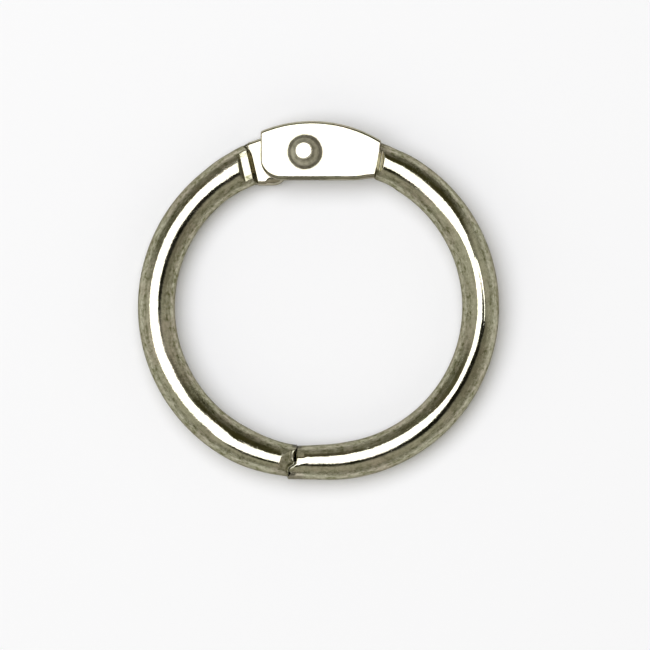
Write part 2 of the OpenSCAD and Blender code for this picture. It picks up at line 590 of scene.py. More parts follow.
@dataclass(frozen=True)
class Patch:
    """A place beside the closing cut painted darker as shade, or smoother and paler as a painted highlight,
    in millimetres.
    """

    strength: float
    across: Span  # places between which it sets in, outward from the crown
    along: Span  # distances from the cut between which it fades
    behind: bool = False  # whether it goes on round the back of the wire

    def at(self, point: Vector, length: float) -> float:
        """How strong the patch is at a point of the section, so far from the cut."""
        seen = self.strength if self.behind or point.y > 0 else 0.0
        return seen * eased(*self.across, point.x) * (1 - eased(*self.along, length))


@dataclass(frozen=True)
class WireMarks:
    """What forming and handling have left on one half's wire, and the shade and highlight painted by its
    cut.

    Lengths are millimetres, places across the wire are measured outward from its crown, and strengths
    run from 0 to 1.
    """

    ridges: tuple[Ridge, ...]
    worn_from: float  # distance from the cut at which the crown starts to be bright
    outer_pinch: float  # share of the pinch at the cut that shows on the outer side
    gape: float  # how far the end draws back where the joint gapes
    bevel_at: float  # middle of the bevel on the cut's rim
    bevel_reach: float  # half of the bevel's length
    bevel_wide: float
    bevel_fall: float  # its fall for each length of its width, below 0 where it is a raised burr
    # Painted shade on the bevel's rim, how smooth the bevel is, and painted shade that dims its glint.
    bevel_shade_level: float
    bevel_bright: float
    bevel_glint_shade: float
    gap_shadow: float  # strength of the round painted shadow on the front's outer side beside the cut
    gap_shadow_reach: float  # how far that painted shadow reaches from the cut
    shade_patches: tuple[Patch, ...]  # other places beside the cut painted darker, as shade
    sheen_patches: tuple[Patch, ...]  # smoother places beside the cut, paler as a painted highlight on the outer rim
    valley_at: float  # distance from the shoulder's edge at which the painted shade is darkest


@dataclass(frozen=True)
class WearSizes:
    """How smooth the wire is and how dark its painted shade by the cut is, alike on both halves.

    Lengths are millimetres and strengths run from 0 to 1.
    """

    crown: float = 0.9  # how smooth the crown is
    crown_fade: Span = (0.35, 0.62)  # where that fades to the sides, as shares of the wire's radius
    crown_run: float = 0.3  # length over which it sets in
    bevel_run: Span = (0.3, 0.5)  # distances from the cut between which the bevel's smoothness fades
    bevel_shade_run: Span = (0.02, 0.1)  # distances past the bevel between which its painted shade fades
    gap_shadow_at: float = 1.1  # place of the round painted shadow, outward from the crown
    gap_shadow_wide: float = 0.24
    gap_shadow_fade: float = 0.2  # length over which it ends
    deep: float = 0.85  # how dark the back of the cut's face is painted, as shade in the joint
    deep_fade: Span = (0.6, 0.9)  # depths between which it turns as bright as the rim
    rim_share: float = 0.6  # how much of the rim's painted shade runs on past it
    rim_run: float = 0.3  # how far it runs
    rim_bright: float = 0.15  # share of the bevel's width over which its painted shade ends


@dataclass(frozen=True)
class RowSpacing:
    """Where a half's rows turn and how close they lie, in millimetres from the shoulder's edge."""

    formed: float = 3.4  # length before the shoulder from which the rows are formed with it
    turning: Span = (-3.2, -1.4)  # where they turn to its lean
    near: float = -1.6  # where they start to lie close
    upright: Span = (0.2, 1.8)  # where the flattened end's rows turn upright
    bend: float = 0.32
    turned: float = 0.15  # spacing where the rows turn
    close: float = 0.04  # spacing beside the step
    step: float = 0.025
    margin: float = 0.1  # how far past each end of the step that spacing goes on
    # Sizes of the rows on the cut's face, as shares of the section.
    face: tuple[float, ...] = (0.12, 0.3, 0.5, 0.7, 0.8, 0.86, 0.92)
    rim_turn: float = math.pi / 8  # turn between two rows on the cut's rim, in radians
    bevel_share: float = 0.2  # spacing on the bevel, as a share of its width
    fade_share: float = 0.04  # spacing past the bevel, as a share of the closing end's length
    end_turn: float = math.pi / 14  # turn between two rows on the free end's edge, in radians
    meetings: int = 12  # tries for the place where a leaning row meets the outline


@dataclass(frozen=True)
class FreeEnd:
    """The end of a flattened end, in millimetres."""

    x: float
    tip: float  # radius that its outline is rounded with
    bore_r: float
    spacing: float
    turn: float  # turn between two rows where the outline is round, in radians


class HalfRing:
    """What the two halves share: the bent wire, its shoulder and its closing end."""

    SIDE: Side
    NAME: str
    BODY: str
    NODE: str
    SLOT = "nickel_wire"
    MARKS: WireMarks
    WEAR = WearSizes()
    ROWS = RowSpacing()
    FRONT = Vector((0.0, 1.0))

    def __init__(self, plan: RingPlan, lap: LapSizes, cut: CutSizes, across: float, lean: float,
                 free: FreeEnd) -> None:
        """Sets the half's path, shoulder and free end.

        Args:
            plan: the ring's main lines.
            lap: what the flattened ends share.
            cut: the closing cut.
            across: distance in X from the rivet to the shoulder.
            lean: lean of the shoulder's edge, in degrees.
            free: the end of the flattened end.
        """
        self.plan = plan
        self.lap = lap
        self.cut = cut
        self.free = free
        sign = self.SIDE.value
        angle = math.asin((across + sign * plan.pivot.x - plan.bend_x) / plan.line_r)
        self.path = BendPath(plan, self.SIDE, cut, angle)
        self.lean = math.radians(lean)
        self.skew = angle - self.lean
        self.leaned = Vector((sign * math.sin(self.lean), math.cos(self.lean)))
        self.root = self.path.frame(self.path.length)[0]
        self.start_x = self.root.x + sign * math.tan(self.lean) * (plan.pivot.y - self.root.y)
        self.faces = sorted(sign * height for height in (lap.gap / 2, lap.face))

    # ---- the wire

    def worn(self, point: Vector, length: float) -> float:
        """How smooth a point of the wire is: handling left the crown bright, not the flanks; by the cut,
        partly a painted highlight.

        Args:
            point: the point of the section.
            length: how far from the cut's middle.

        Returns:
            The smoothness, 0 to 1.
        """
        wear, marks = self.WEAR, self.MARKS
        crown = 1 - eased(*wear.crown_fade, abs(point.x) / self.plan.wire_r)
        crown *= wear.crown * eased(marks.worn_from, marks.worn_from + wear.crown_run, length)
        bevel = marks.bevel_bright * self.bevelled(point) * (1 - eased(*wear.bevel_run, length))
        return max(crown, bevel, *(patch.at(point, length) for patch in marks.sheen_patches))

    def cut_shade(self, point: Vector, length: float) -> float:
        """How dark a point beside the cut is painted: shade in and by the joint, and the dimmed glint on
        the bevel.

        Args:
            point: the point of the section.
            length: how far from the cut.

        Returns:
            The painted shade, 0 to 1.
        """
        wear, marks = self.WEAR, self.MARKS
        # Painted shade by the cut: the shade patches, the bevel's dimmed glint and the round shadow in the
        # gap.
        patch_shade = max(patch.at(point, length) for patch in marks.shade_patches)
        if point.y <= 0:
            return patch_shade
        ends = (marks.bevel_wide + past for past in wear.bevel_shade_run)
        bevel = marks.bevel_glint_shade * self.bevelled(point) * (1 - eased(*ends, length))
        gap_shadow = marks.gap_shadow * bell(point.x - wear.gap_shadow_at, wear.gap_shadow_wide)
        gap_shadow *= 1 - eased(marks.gap_shadow_reach - wear.gap_shadow_fade, marks.gap_shadow_reach, length)
        return max(patch_shade, bevel, gap_shadow)

    def wire_row(self, at: Vector, outward: Vector, loop: list[Vector], length: float) -> Row:
        """A row of the round wire, so far from the cut's middle."""
        return Row.across(at, outward, loop, length, [self.worn(point, length) for point in loop])

    def wire_loop(self, along: float) -> list[Vector]:
        """The wire's section at a distance from the shoulder's edge towards the rivet."""
        raise NotImplementedError

    def closing_loop(self, length: float) -> list[Vector]:
        """The wire's section at a length from the closing cut's middle."""
        raise NotImplementedError

    def bent_row(self, along: float) -> Row:
        """A row of the wire near the shoulder, its plane turning to the shoulder's lean.

        Args:
            along: distance from the shoulder's edge, towards the rivet.

        Returns:
            The row.
        """
        length = self.path.length + along / math.cos(self.skew)
        at, outward = self.path.frame(length)
        turned = outward.lerp(self.leaned, eased(*self.ROWS.turning, along)).normalized()
        row = self.wire_row(at, turned, self.wire_loop(along), length)
        row.painted_shade = [self.bent_shade(along, Vector((grain.y, grain.z))) for grain in row.grain]
        return row

    def valley(self, along: float) -> float:
        """How dark the foot of the step is painted, as shade, at a distance from the shoulder's edge, 0 to
        1.
        """
        return self.lap.valley * bell(along - self.MARKS.valley_at, self.lap.valley_run)

    def bent_shade(self, along: float, point: Vector) -> float:
        """How dark a point of the wire near the shoulder is painted, as shade, 0 to 1."""
        return self.valley(along)

    # ---- the closing end

    def cut_shift(self, point: Vector) -> float:
        """How far along the wire a point of the end moves to lie on the cut.

        Args:
            point: the point of the section.

        Returns:
            The shift along the wire, positive towards the hinge.
        """
        at, outward = self.path.frame(0.0)
        height = at.y + outward.y * point.x - self.plan.mid_y + self.plan.line_r
        line = self.cut.softened(height, self.plan.wire_r) - self.cut.lean * point.y
        clear = self.cut.gap / 2 + self.notched(height, point.y)
        target = line - self.cut.offset + self.SIDE.value * clear
        pace = 1.0 if self.path.straight > 0 else -outward.y * (1 + point.x / self.plan.line_r)
        return self.SIDE.value * (target - at.x - outward.x * point.x) / pace

    def notched(self, height: float, depth: float) -> float:
        """How far the end draws back along the wire, where the joint gapes at the front."""
        opened = eased(*self.cut.gape_outer, height) * eased(*self.cut.gape_inner, height)
        return self.MARKS.gape * opened * eased(*self.cut.gape_depth, depth)

    def bevelled(self, point: Vector) -> float:
        """How wide the bevel on the cut's rim is at a point of the section, 0 to 1."""
        off = (point.x - self.MARKS.bevel_at) / self.MARKS.bevel_reach
        return math.sqrt(max(0.0, 1 - off * off)) if point.y > 0 else 0.0

    def plain_loop(self, length: float) -> list[Vector]:
        """The bent wire's section, slimmer near the closing cut, with the ridges on its crown.

        Args:
            length: how far from the cut's middle.

        Returns:
            The loop.
        """
        slim = self.cut.pinch * (1 - eased(0.0, self.cut.pinch_run, length))
        slimmed = self.plan.wire_r - slim
        fuller = (self.plan.wire_r - slim * self.MARKS.outer_pinch) / slimmed
        around = math.degrees((length - self.path.straight) / self.plan.line_r)
        loop = Outline.round(slimmed, self.plan.wire_r)
        for point in loop:
            point.x *= fuller if point.x > 0 else 1.0
            if point.y > 0:
                point.y += sum(ridge.raised(around, point.x) for ridge in self.MARKS.ridges)
        return loop

    def closing_row(self, lengths: list[float], loop: list[Vector], painted_shade: list[float]) -> Row:
        """A row near the closing cut, each point slid along the wire by the cut's shape.

        Args:
            lengths: how far each point lies from the cut, before the slide.
            loop: the section's points.
            painted_shade: how dark each point is painted, as shade in the joint.

        Returns:
            The row.
        """
        points = []
        for point, length in zip(loop, lengths):
            fade = 1 - eased(0.0, self.cut.fade, length)
            at, outward = self.path.frame(length + fade * self.cut_shift(point))
            points.append(stood(at, outward, point))
        grain = [Vector((length, point.x, point.y)) for point, length in zip(loop, lengths)]
        return Row(points, grain, painted_shade, [self.worn(*pair) for pair in zip(loop, lengths)])

    def rim_row(self, lengths: list[float], falls: list[float], painted_shade: list[float]) -> Row:
        """A row on the rim of the cut or just past it.

        Args:
            lengths: how far each point lies from the cut, before the slide.
            falls: how far each point falls from the wire's surface.
            painted_shade: how dark each point is painted, as shade in the joint, apart from the shade
                beside the cut.

        Returns:
            The row.
        """
        loops = {length: self.closing_loop(length) for length in set(lengths)}
        section = (loops[length][index] for index, length in enumerate(lengths))
        points = [point * (1 - fall / self.plan.wire_r) for point, fall in zip(section, falls)]
        # The painted shade by the cut is added to the joint's.
        cut_shade = [max(r, self.cut_shade(p, length)) for r, p, length in zip(painted_shade, points, lengths)]
        return self.closing_row(lengths, points, cut_shade)

    def closing_rows(self) -> Iterator[Row]:
        """Rows over the cut's face, round its rim and along the first of the wire.

        Yields:
            The rows, from the middle of the cut's face outward.
        """
        cut, wear, marks, rows = self.cut, self.WEAR, self.MARKS, self.ROWS
        loop = self.closing_loop(0.0)
        shares = [self.bevelled(point) for point in loop]
        plain = cut.rim_run * cut.rim
        ends = [plain + (marks.bevel_wide - plain) * share for share in shares]
        falls = [marks.bevel_fall * end for end in ends]
        # Painted shade on the cut's rim and face, darker towards the back of the joint.
        rim_shade = [cut.shade_level + (marks.bevel_shade_level - cut.shade_level) * share for share in shares]
        deep = [max(d, wear.deep - wear.deep * eased(*wear.deep_fade, p.y)) for d, p in zip(rim_shade, loop)]
        for size in rows.face:
            yield self.closing_row([0.0] * len(loop), [point * size for point in loop], deep)
        for turn in stops(0.0, math.pi / 2, rows.rim_turn):
            lengths = [cut.rim * (1 - math.cos(turn))] * len(loop)
            yield self.rim_row(lengths, [fall + cut.rim * (1 - math.sin(turn)) for fall in falls], rim_shade)
        for share in stops(0.0, 1.0, rows.bevel_share):
            lengths = [round(cut.rim + (end - cut.rim) * share, 3) for end in ends]
            left = 1 - eased(0.0, wear.rim_bright, share)
            bare = [d * left if part else d for d, part in zip(rim_shade, shares)]
            yield self.rim_row(lengths, [fall * (1 - share) for fall in falls], bare)
        for share in stops(0.0, 1.0, rows.fade_share):
            lengths = [round(end + (cut.fade - end) * share, 3) for end in ends]
            fading = [
                0.0 if part else wear.rim_share * d * bell(length - end, wear.rim_run)
                for d, part, length, end in zip(rim_shade, shares, lengths, ends)
            ]
            yield self.rim_row(lengths, [0.0] * len(loop), fading)

    # ---- the flattened end

    def edges(self, x: float) -> Span:
        """The flattened end's lower and upper Y at an X."""
        raise NotImplementedError

    def edge_shade(self, gone: float) -> float:
        """How dark the flattened end's inner edge is painted, as shade, at a distance from the shoulder, 0
        to 1.
        """
        raise NotImplementedError

    def edge_radii(self, gone: float) -> Span:
        """Radii that round the flattened end's inner and outer edge, at a distance from the shoulder."""
        return self.lap.edges

    def meet(self, middle: float, lean: float, edge: int) -> Vector:
        """Where a leaning row of the flattened end meets its outline.

        Args:
            middle: X of the row at the rivet's height.
            lean: the row's lean, in radians.
            edge: 0 for the inner edge, 1 for the outer one.

        Returns:
            The place.
        """
        slope = self.SIDE.value * math.tan(lean)
        level = height = self.plan.pivot.y
        for _ in range(self.ROWS.meetings):
            height = self.edges(middle + slope * (height - level))[edge]
        return Vector((middle + slope * (height - level), height))

    def flat_row(self, gone: float, trim: float = 0.0) -> Row:
        """A row across the flattened end.

        Args:
            gone: distance in X from the shoulder towards the free end, at the rivet's height.
            trim: how much each face is lowered.

        Returns:
            The row.
        """
        lean = self.lean * (1 - eased(*self.ROWS.upright, gone))
        middle = self.start_x - self.SIDE.value * gone
        low, high = (self.meet(middle, lean, edge) for edge in (0, 1))
        width = (high - low).length
        reach = max(self.lap.least_reach, width / 2 - trim * self.lap.drawn_in)
        outward = (high - low).normalized() if width > MERGED else Vector((0.0, 1.0))
        bottom, top = self.faces
        corners = tuple(max(self.lap.least_edge, edge - trim) for edge in self.edge_radii(gone))
        loop = Outline.slab(reach, bottom + trim, top - trim, corners)
        row = Row.across((low + high) / 2, outward, loop, self.path.length + gone, [1.0] * len(loop))
        # Painted shade along the rounded inner edge.
        edge_shade, corner = self.edge_shade(gone), corners[0]
        row.painted_shade = [
            edge_shade * eased(reach - corner, reach - corner / 2, -point.x) if point.x < 0 else 0.0
            for point in loop
        ]
        return row

    def flat_stops(self) -> list[float]:
        """Distances from the shoulder at which the flattened end has rows, up to its rounded end.

        Returns:
            The distances, closer together where the outline is round.
        """
        free = self.free
        start = self.step_reach() / math.cos(self.lean)
        last = math.acos(1 - self.lap.edge / free.tip)
        plain = stops(start, self.free_length - free.tip, free.spacing)
        turns = stops(math.pi / 2, last, free.turn)
        return plain + [self.free_length - free.tip * (1 - math.cos(turn)) for turn in turns]

    @property
    def free_length(self) -> float:
        """Distance in X from the shoulder, at the rivet's height, to the free end."""
        return self.SIDE.value * (self.start_x - self.free.x)

    def step_shares(self, along: float) -> list[float]:
        """How far each point of a row has gone from round wire to flattened end, here all alike."""
        half = self.lap.step / 2
        return [ramp(-half, half, along)] * Outline.AROUND

    def step_reach(self) -> float:
        """How far each way from the shoulder's edge the step's rows run."""
        return self.lap.step / 2 + self.ROWS.margin

    def step_row(self, along: float) -> Row:
        """A row on the step between the wire and the flattened end.

        Args:
            along: distance from the shoulder's edge, towards the rivet.

        Returns:
            The row.
        """
        flat = self.flat_row(along / math.cos(self.lean))
        row = self.bent_row(along).mixed(flat, self.step_shares(along))
        row.painted_shade = [max(self.valley(along), painted_shade) for painted_shade in row.painted_shade]
        return row

    # ---- the whole half

    def rows(self) -> Iterator[Row]:
        """All rows of the half, from the closing cut to the free end.

        Yields:
            The rows in order.
        """
        rows, reach = self.ROWS, self.step_reach()
        yield from self.closing_rows()
        for length in stops(self.cut.fade, self.path.length - rows.formed, rows.bend):
            at, outward = self.path.frame(length)
            yield self.wire_row(at, outward, self.closing_loop(length), length)
        for along in stops(-rows.formed * math.cos(self.skew), rows.near, rows.turned):
            yield self.bent_row(along)
        for along in stops(rows.near, -reach, rows.close):
            yield self.bent_row(along)
        for along in stops(-reach, reach, rows.step):
            yield self.step_row(along)
        for gone in self.flat_stops():
            row = self.flat_row(gone)
            row.painted_shade = [max(self.valley(gone), painted_shade) for painted_shade in row.painted_shade]
            yield row
        edge = self.lap.edge
        for turn in (*stops(0.0, math.pi / 2, rows.end_turn), math.pi / 2):
            gone = self.free_length - edge * (1 - math.sin(turn))
            yield self.flat_row(gone, edge * (1 - math.cos(turn)))

    def build(self) -> bpy.types.Object:
        """Grows the half's skin and bores it for the rivet.

        Returns:
            The finished piece.
        """
        skin = Skin()
        for index, row in enumerate(self.rows()):
            skin.grow(row)
            if index == 0:
                skin.close()
        skin.close()
        piece = Bench.finish(skin.mesh, self.NAME)
        Bench.bore(piece, self.plan.pivot, self.free.bore_r, self.lap.face + 1)
        return piece

    def dress(self, finish: bpy.types.Material) -> None:
        """Builds the half and puts it in place with its finish."""
        place(self.build(), self.BODY, self.NODE, self.SLOT, finish)


# Painted shade along the inner edge just beside the cut, where the left half's lip overhangs the joint.
INNER_EDGE_SHADE = Patch(strength=1.0, across=(-1.1, -1.3), along=(0.3, 0.6))


@dataclass(frozen=True)
class TongueSizes:
    """The tongue at the left half's hinge end and the slope on its closing end, in millimetres."""

    across: float = 4.75  # distance in X from the rivet to the shoulder
    lean: float = 13.0  # lean of the shoulder's edge, in degrees
    width: float = 3.85
    belly_r: float = 1.2  # radius of the bulge on the inner edge
    belly_reach: float = 2.8  # distance in X from the rivet to the bulge
    belly_depth: float = 2.97  # distance in Y from the rivet to the bulge's lowest point
    roll_r: float = 0.85  # radius that rounds the inner edge along the bulge
    # How dark the tongue's inner edge is painted, as shade, 0 to 1.
    roll_run: Span = (1.3, 2.0)  # distances from the shoulder between which the edge grows to that radius
    edge_shade: float = 0.25
    swell: float = 0.2  # how far the pressed metal stands out beside the shoulder
    swell_run: Span = (-4.0, -0.6)  # distances past the shoulder's edge between which it swells
    facet: float = 0.75  # width of the flat pressed beside the shoulder
    facet_drop: float = 0.5  # depth of that flat below the wire's front
    facet_run: float = 0.26  # length of the slope down to it
    facet_soft: float = 0.5  # how much of that slope is rounded
    facet_edge: float = 0.06  # rounding of the flat's edges
    foot_at: float = 0.16  # distance from the flat to the painted shade at the foot of that slope
    foot_run: float = 0.17  # how far that painted shade reaches
    foot_fade: Span = (0.75, 1.1)  # distances from the crown between which it fades
    foot_shade: float = 0.85  # how dark that painted shade is, 0 to 1
    relief: float = 0.06  # clearance round the front plate's crown where it lands on the shoulder
    # Depth below the lap from which the shoulder's corner slopes up to that place.
    relief_low: float = 0.3
    slope: float = 1.2
    slope_angle: float = 25.0
    slope_edge: float = 0.05  # rounding of its edges
    die_clear: float = 0.02  # how far a die that presses nothing stays off the wire
    spacing: float = 0.12  # distance between two rows of the tongue
    turn: float = 0.06  # turn between two rows of its round end, in radians


@dataclass(frozen=True)
class PlateSizes:
    """The front plate at the right half's hinge end and the flat on its closing end, in millimetres."""

    across: float = 6.45  # distance in X from the rivet to the shoulder
    lean: float = 10.0  # lean of the shoulder's edge, in degrees
    below: float = 2.53  # distance in Y from the rivet to the straight edge
    lift: float = 0.2  # how far that edge rises beside the shoulder
    lift_run: Span = (3.0, 5.0)  # places in X between which it rises
    # How dark the plate's straight edge is painted, as shade, 0 to 1.
    edge_shade: float = 0.4
    edge_shade_more: float = 0.45  # how much darker that painted shade is below the rivet
    edge_shade_from: Span = (4.0, 5.6)  # distances from the shoulder between which that sets in
    edge_shade_to: Span = (7.9, 8.5)  # distances between which it ends
    crown_r: float = 11.8
    crown_shift: float = 0.6  # distance in X from the rivet to the crest
    corner_r: float = 1.9  # radius of the free end's inner corner
    groove_r: float = 0.3  # radius of the groove beside the plate
    groove_soft: float = 0.06  # rounding of the groove's bottom along the wire
    groove_edge: float = 0.05  # rounding of its edges across the wire
    # Distances past the shoulder's edge between which the front steps down.
    front_step: Span = (-0.1, 0.04)
    front_soft: float = 0.3  # how much of that step is rounded
    # Heights between which the back's longer step turns into it, as shares of the wire.
    front_part: Span = (-0.5, 0.3)
    flat: float = 0.9
    flat_run: float = 0.08  # length over which the flat ends
    flat_depth: float = 0.12
    flat_facing: float = 36.0  # its direction from the front towards the inside, in degrees
    flat_edge: float = 0.07  # rounding of its edges
    spacing: float = 0.16  # distance between two rows of the plate
    turn: float = 0.07  # turn between two rows of its round corner, in radians

    def crown_at(self, plan: RingPlan) -> Vector:
        """Middle of the curved edge's circle, with the ring closed."""
        return Vector((plan.pivot.x + self.crown_shift, plan.crest_y - self.crown_r))


class LeftHalf(HalfRing):
    """The half that carries the rivet, with the tongue behind the front plate."""

    SIDE = Side.LEFT
    NAME = "left_half_ring"
    BODY = "left_side"
    NODE = "left_half"
    MARKS = WireMarks(
        ridges=(
            Ridge(run=(8.0, 30.0), fade=10.0, track=(0.6, 0.6), high=0.14, wide=0.9),
            Ridge(run=(8.0, 26.0), fade=10.0, track=(-0.6, -0.6), high=-0.04, wide=0.85),
            Ridge(run=(57.0, 63.0), fade=10.0, track=(-0.6, -0.6), high=0.05, wide=0.85),
        ),
        worn_from=1.1,
        outer_pinch=1.0,
        gape=0.12,
        bevel_at=-0.45,
        bevel_reach=0.56,
        bevel_wide=0.24,
        bevel_fall=-0.57,
        # The bevel's rim and glint, the round shadow in the gap and the patches beside the cut are painted
        # shade.
        bevel_shade_level=0.25,
        bevel_bright=1.0,
        bevel_glint_shade=0.85,
        gap_shadow=0.5,
        gap_shadow_reach=0.4,
        shade_patches=(INNER_EDGE_SHADE, Patch(strength=0.3, across=(0.75, 0.95), along=(0.9, 1.9))),
        sheen_patches=(),
        valley_at=0.0,
    )

    def __init__(self, plan: RingPlan, lap: LapSizes, cut: CutSizes, sizes: TongueSizes,
                 plate: PlateSizes) -> None:
        """Sets the tongue's outline and the place where the open plate lands.

        Args:
            plan: the ring's main lines.
            lap: what the flattened ends share.
            cut: the closing cut.
            sizes: the tongue's sizes.
            plate: the front plate's sizes.
        """
        pivot, tip = plan.pivot, plan.tongue_r
        free = FreeEnd(pivot.x + tip, tip, lap.shank_r, sizes.spacing, sizes.turn)
        super().__init__(plan, lap, cut, sizes.across, sizes.lean, free)
        self.sizes = sizes
        self.top = self.root + self.leaned * (sizes.width / 2)
        away = self.top - pivot
        angle = math.atan2(away.y, away.x) - math.acos(tip / away.length)
        self.touch = pivot + Vector((math.cos(angle), math.sin(angle))) * tip
        self.belly = pivot - Vector((sizes.belly_reach, sizes.belly_depth - sizes.belly_r))
        opened = Matrix.Rotation(math.radians(plan.opened), 2)
        self.landed = pivot + opened @ (plate.crown_at(plan) - pivot)
        self.relief_r = plate.crown_r + sizes.relief

    def cleared(self, row: Row, low: float) -> Row:
        """A row whose corner is drawn back to where the front plate's crown lands.

        Args:
            row: the row near the shoulder, which is changed.
            low: height from which the points start to move. From the lap up they move all the way.

        Returns:
            The same row.
        """
        for point in row.points:
            away = point.xy - self.landed
            short = max(0.0, self.relief_r - away.length) * eased(low, 0.0, point.z)
            point.xy = point.xy + away.normalized() * short
        return row

    def bent_row(self, along: float) -> Row:
        """A row of the wire near the shoulder, its corner sloping up to the landed crown."""
        return self.cleared(super().bent_row(along), -self.sizes.relief_low)

    def step_row(self, along: float) -> Row:
        """A row on the step, drawn back from the landed crown."""
        return self.cleared(super().step_row(along), -self.lap.gap / 2)

    @property
    def facet_end(self) -> float:
        """Where the flat beside the shoulder ends, from the shoulder's edge."""
        return -self.lap.step / 2 - self.sizes.facet

    def wire_loop(self, along: float) -> list[Vector]:
        """The wire's section, swollen and pressed flat beside the shoulder.

        Args:
            along: distance from the shoulder's edge, towards the rivet.

        Returns:
            The loop.
        """
        sizes, high = self.sizes, self.plan.wire_r
        loop = Outline.round(high + sizes.swell * eased(*sizes.swell_run, along), high)
        share = ramp(self.facet_end - sizes.facet_run, self.facet_end, along, sizes.facet_soft)
        limit = high - sizes.facet_drop * share + sizes.die_clear
        return Outline.pressed(loop, self.FRONT, limit, sizes.facet_edge)

    def bent_shade(self, along: float, point: Vector) -> float:
        """How dark a point near the shoulder is painted: the pressed flat's foot on the crown gets painted
        shade as well.

        Args:
            along: distance from the shoulder's edge, towards the rivet.
            point: the point of the section.

        Returns:
            The painted shade, 0 to 1.
        """
        sizes = self.sizes
        crown = 1 - eased(*sizes.foot_fade, abs(point.x)) if point.y > 0 else 0.0
        foot = bell(along - self.facet_end + sizes.foot_at, sizes.foot_run)
        return max(sizes.foot_shade * crown * foot, self.valley(along))

    def closing_loop(self, length: float) -> list[Vector]:
        """The wire's section, with the slope on the front of the closing end.

        Args:
            length: how far from the cut's middle.

        Returns:
            The loop.
        """
        sizes = self.sizes
        loop = self.plain_loop(length)
        fall = max(0.0, sizes.slope - length) * math.tan(math.radians(sizes.slope_angle))
        if fall <= 0:
            return loop
        limit = self.plan.wire_r - fall + sizes.die_clear
        return Outline.pressed(loop, self.FRONT, limit, sizes.slope_edge)

    def edge_shade(self, gone: float) -> float:
        """The tongue's inner edge is painted a little darker all along, as shade."""
        return self.sizes.edge_shade

    def edges(self, x: float) -> Span:
        """The tongue's lower and upper Y at an X.

        Args:
            x: where to look.

        Returns:
            The two heights.
        """
        pivot, tip, belly, belly_r = self.plan.pivot, self.plan.tongue_r, self.belly, self.sizes.belly_r
        inside = max(0.0, tip * tip - (x - pivot.x) ** 2)
        slope = (self.touch.y - self.top.y) / (self.touch.x - self.top.x)
        high = self.top.y + (x - self.top.x) * slope
        if x > self.touch.x:
            high = pivot.y + math.sqrt(inside)
        low = belly.y - belly_r
        if x > belly.x:
            share = (x - belly.x) / (pivot.x - belly.x)
            low = belly.y + (pivot.y - tip - belly.y) * min(1.0, share)
            bulge = belly_r ** 2 - (x - belly.x) ** 2
            if bulge > 0:
                low = min(low, belly.y - math.sqrt(bulge))
        if x > pivot.x:
            low = pivot.y - math.sqrt(inside)
        return low, high

    def edge_radii(self, gone: float) -> Span:
        """The inner edge's radius, which grows along the bulge, and the outer edge's."""
        inner, outer = self.lap.edges
        return inner + (self.sizes.roll_r - inner) * eased(*self.sizes.roll_run, gone), outer


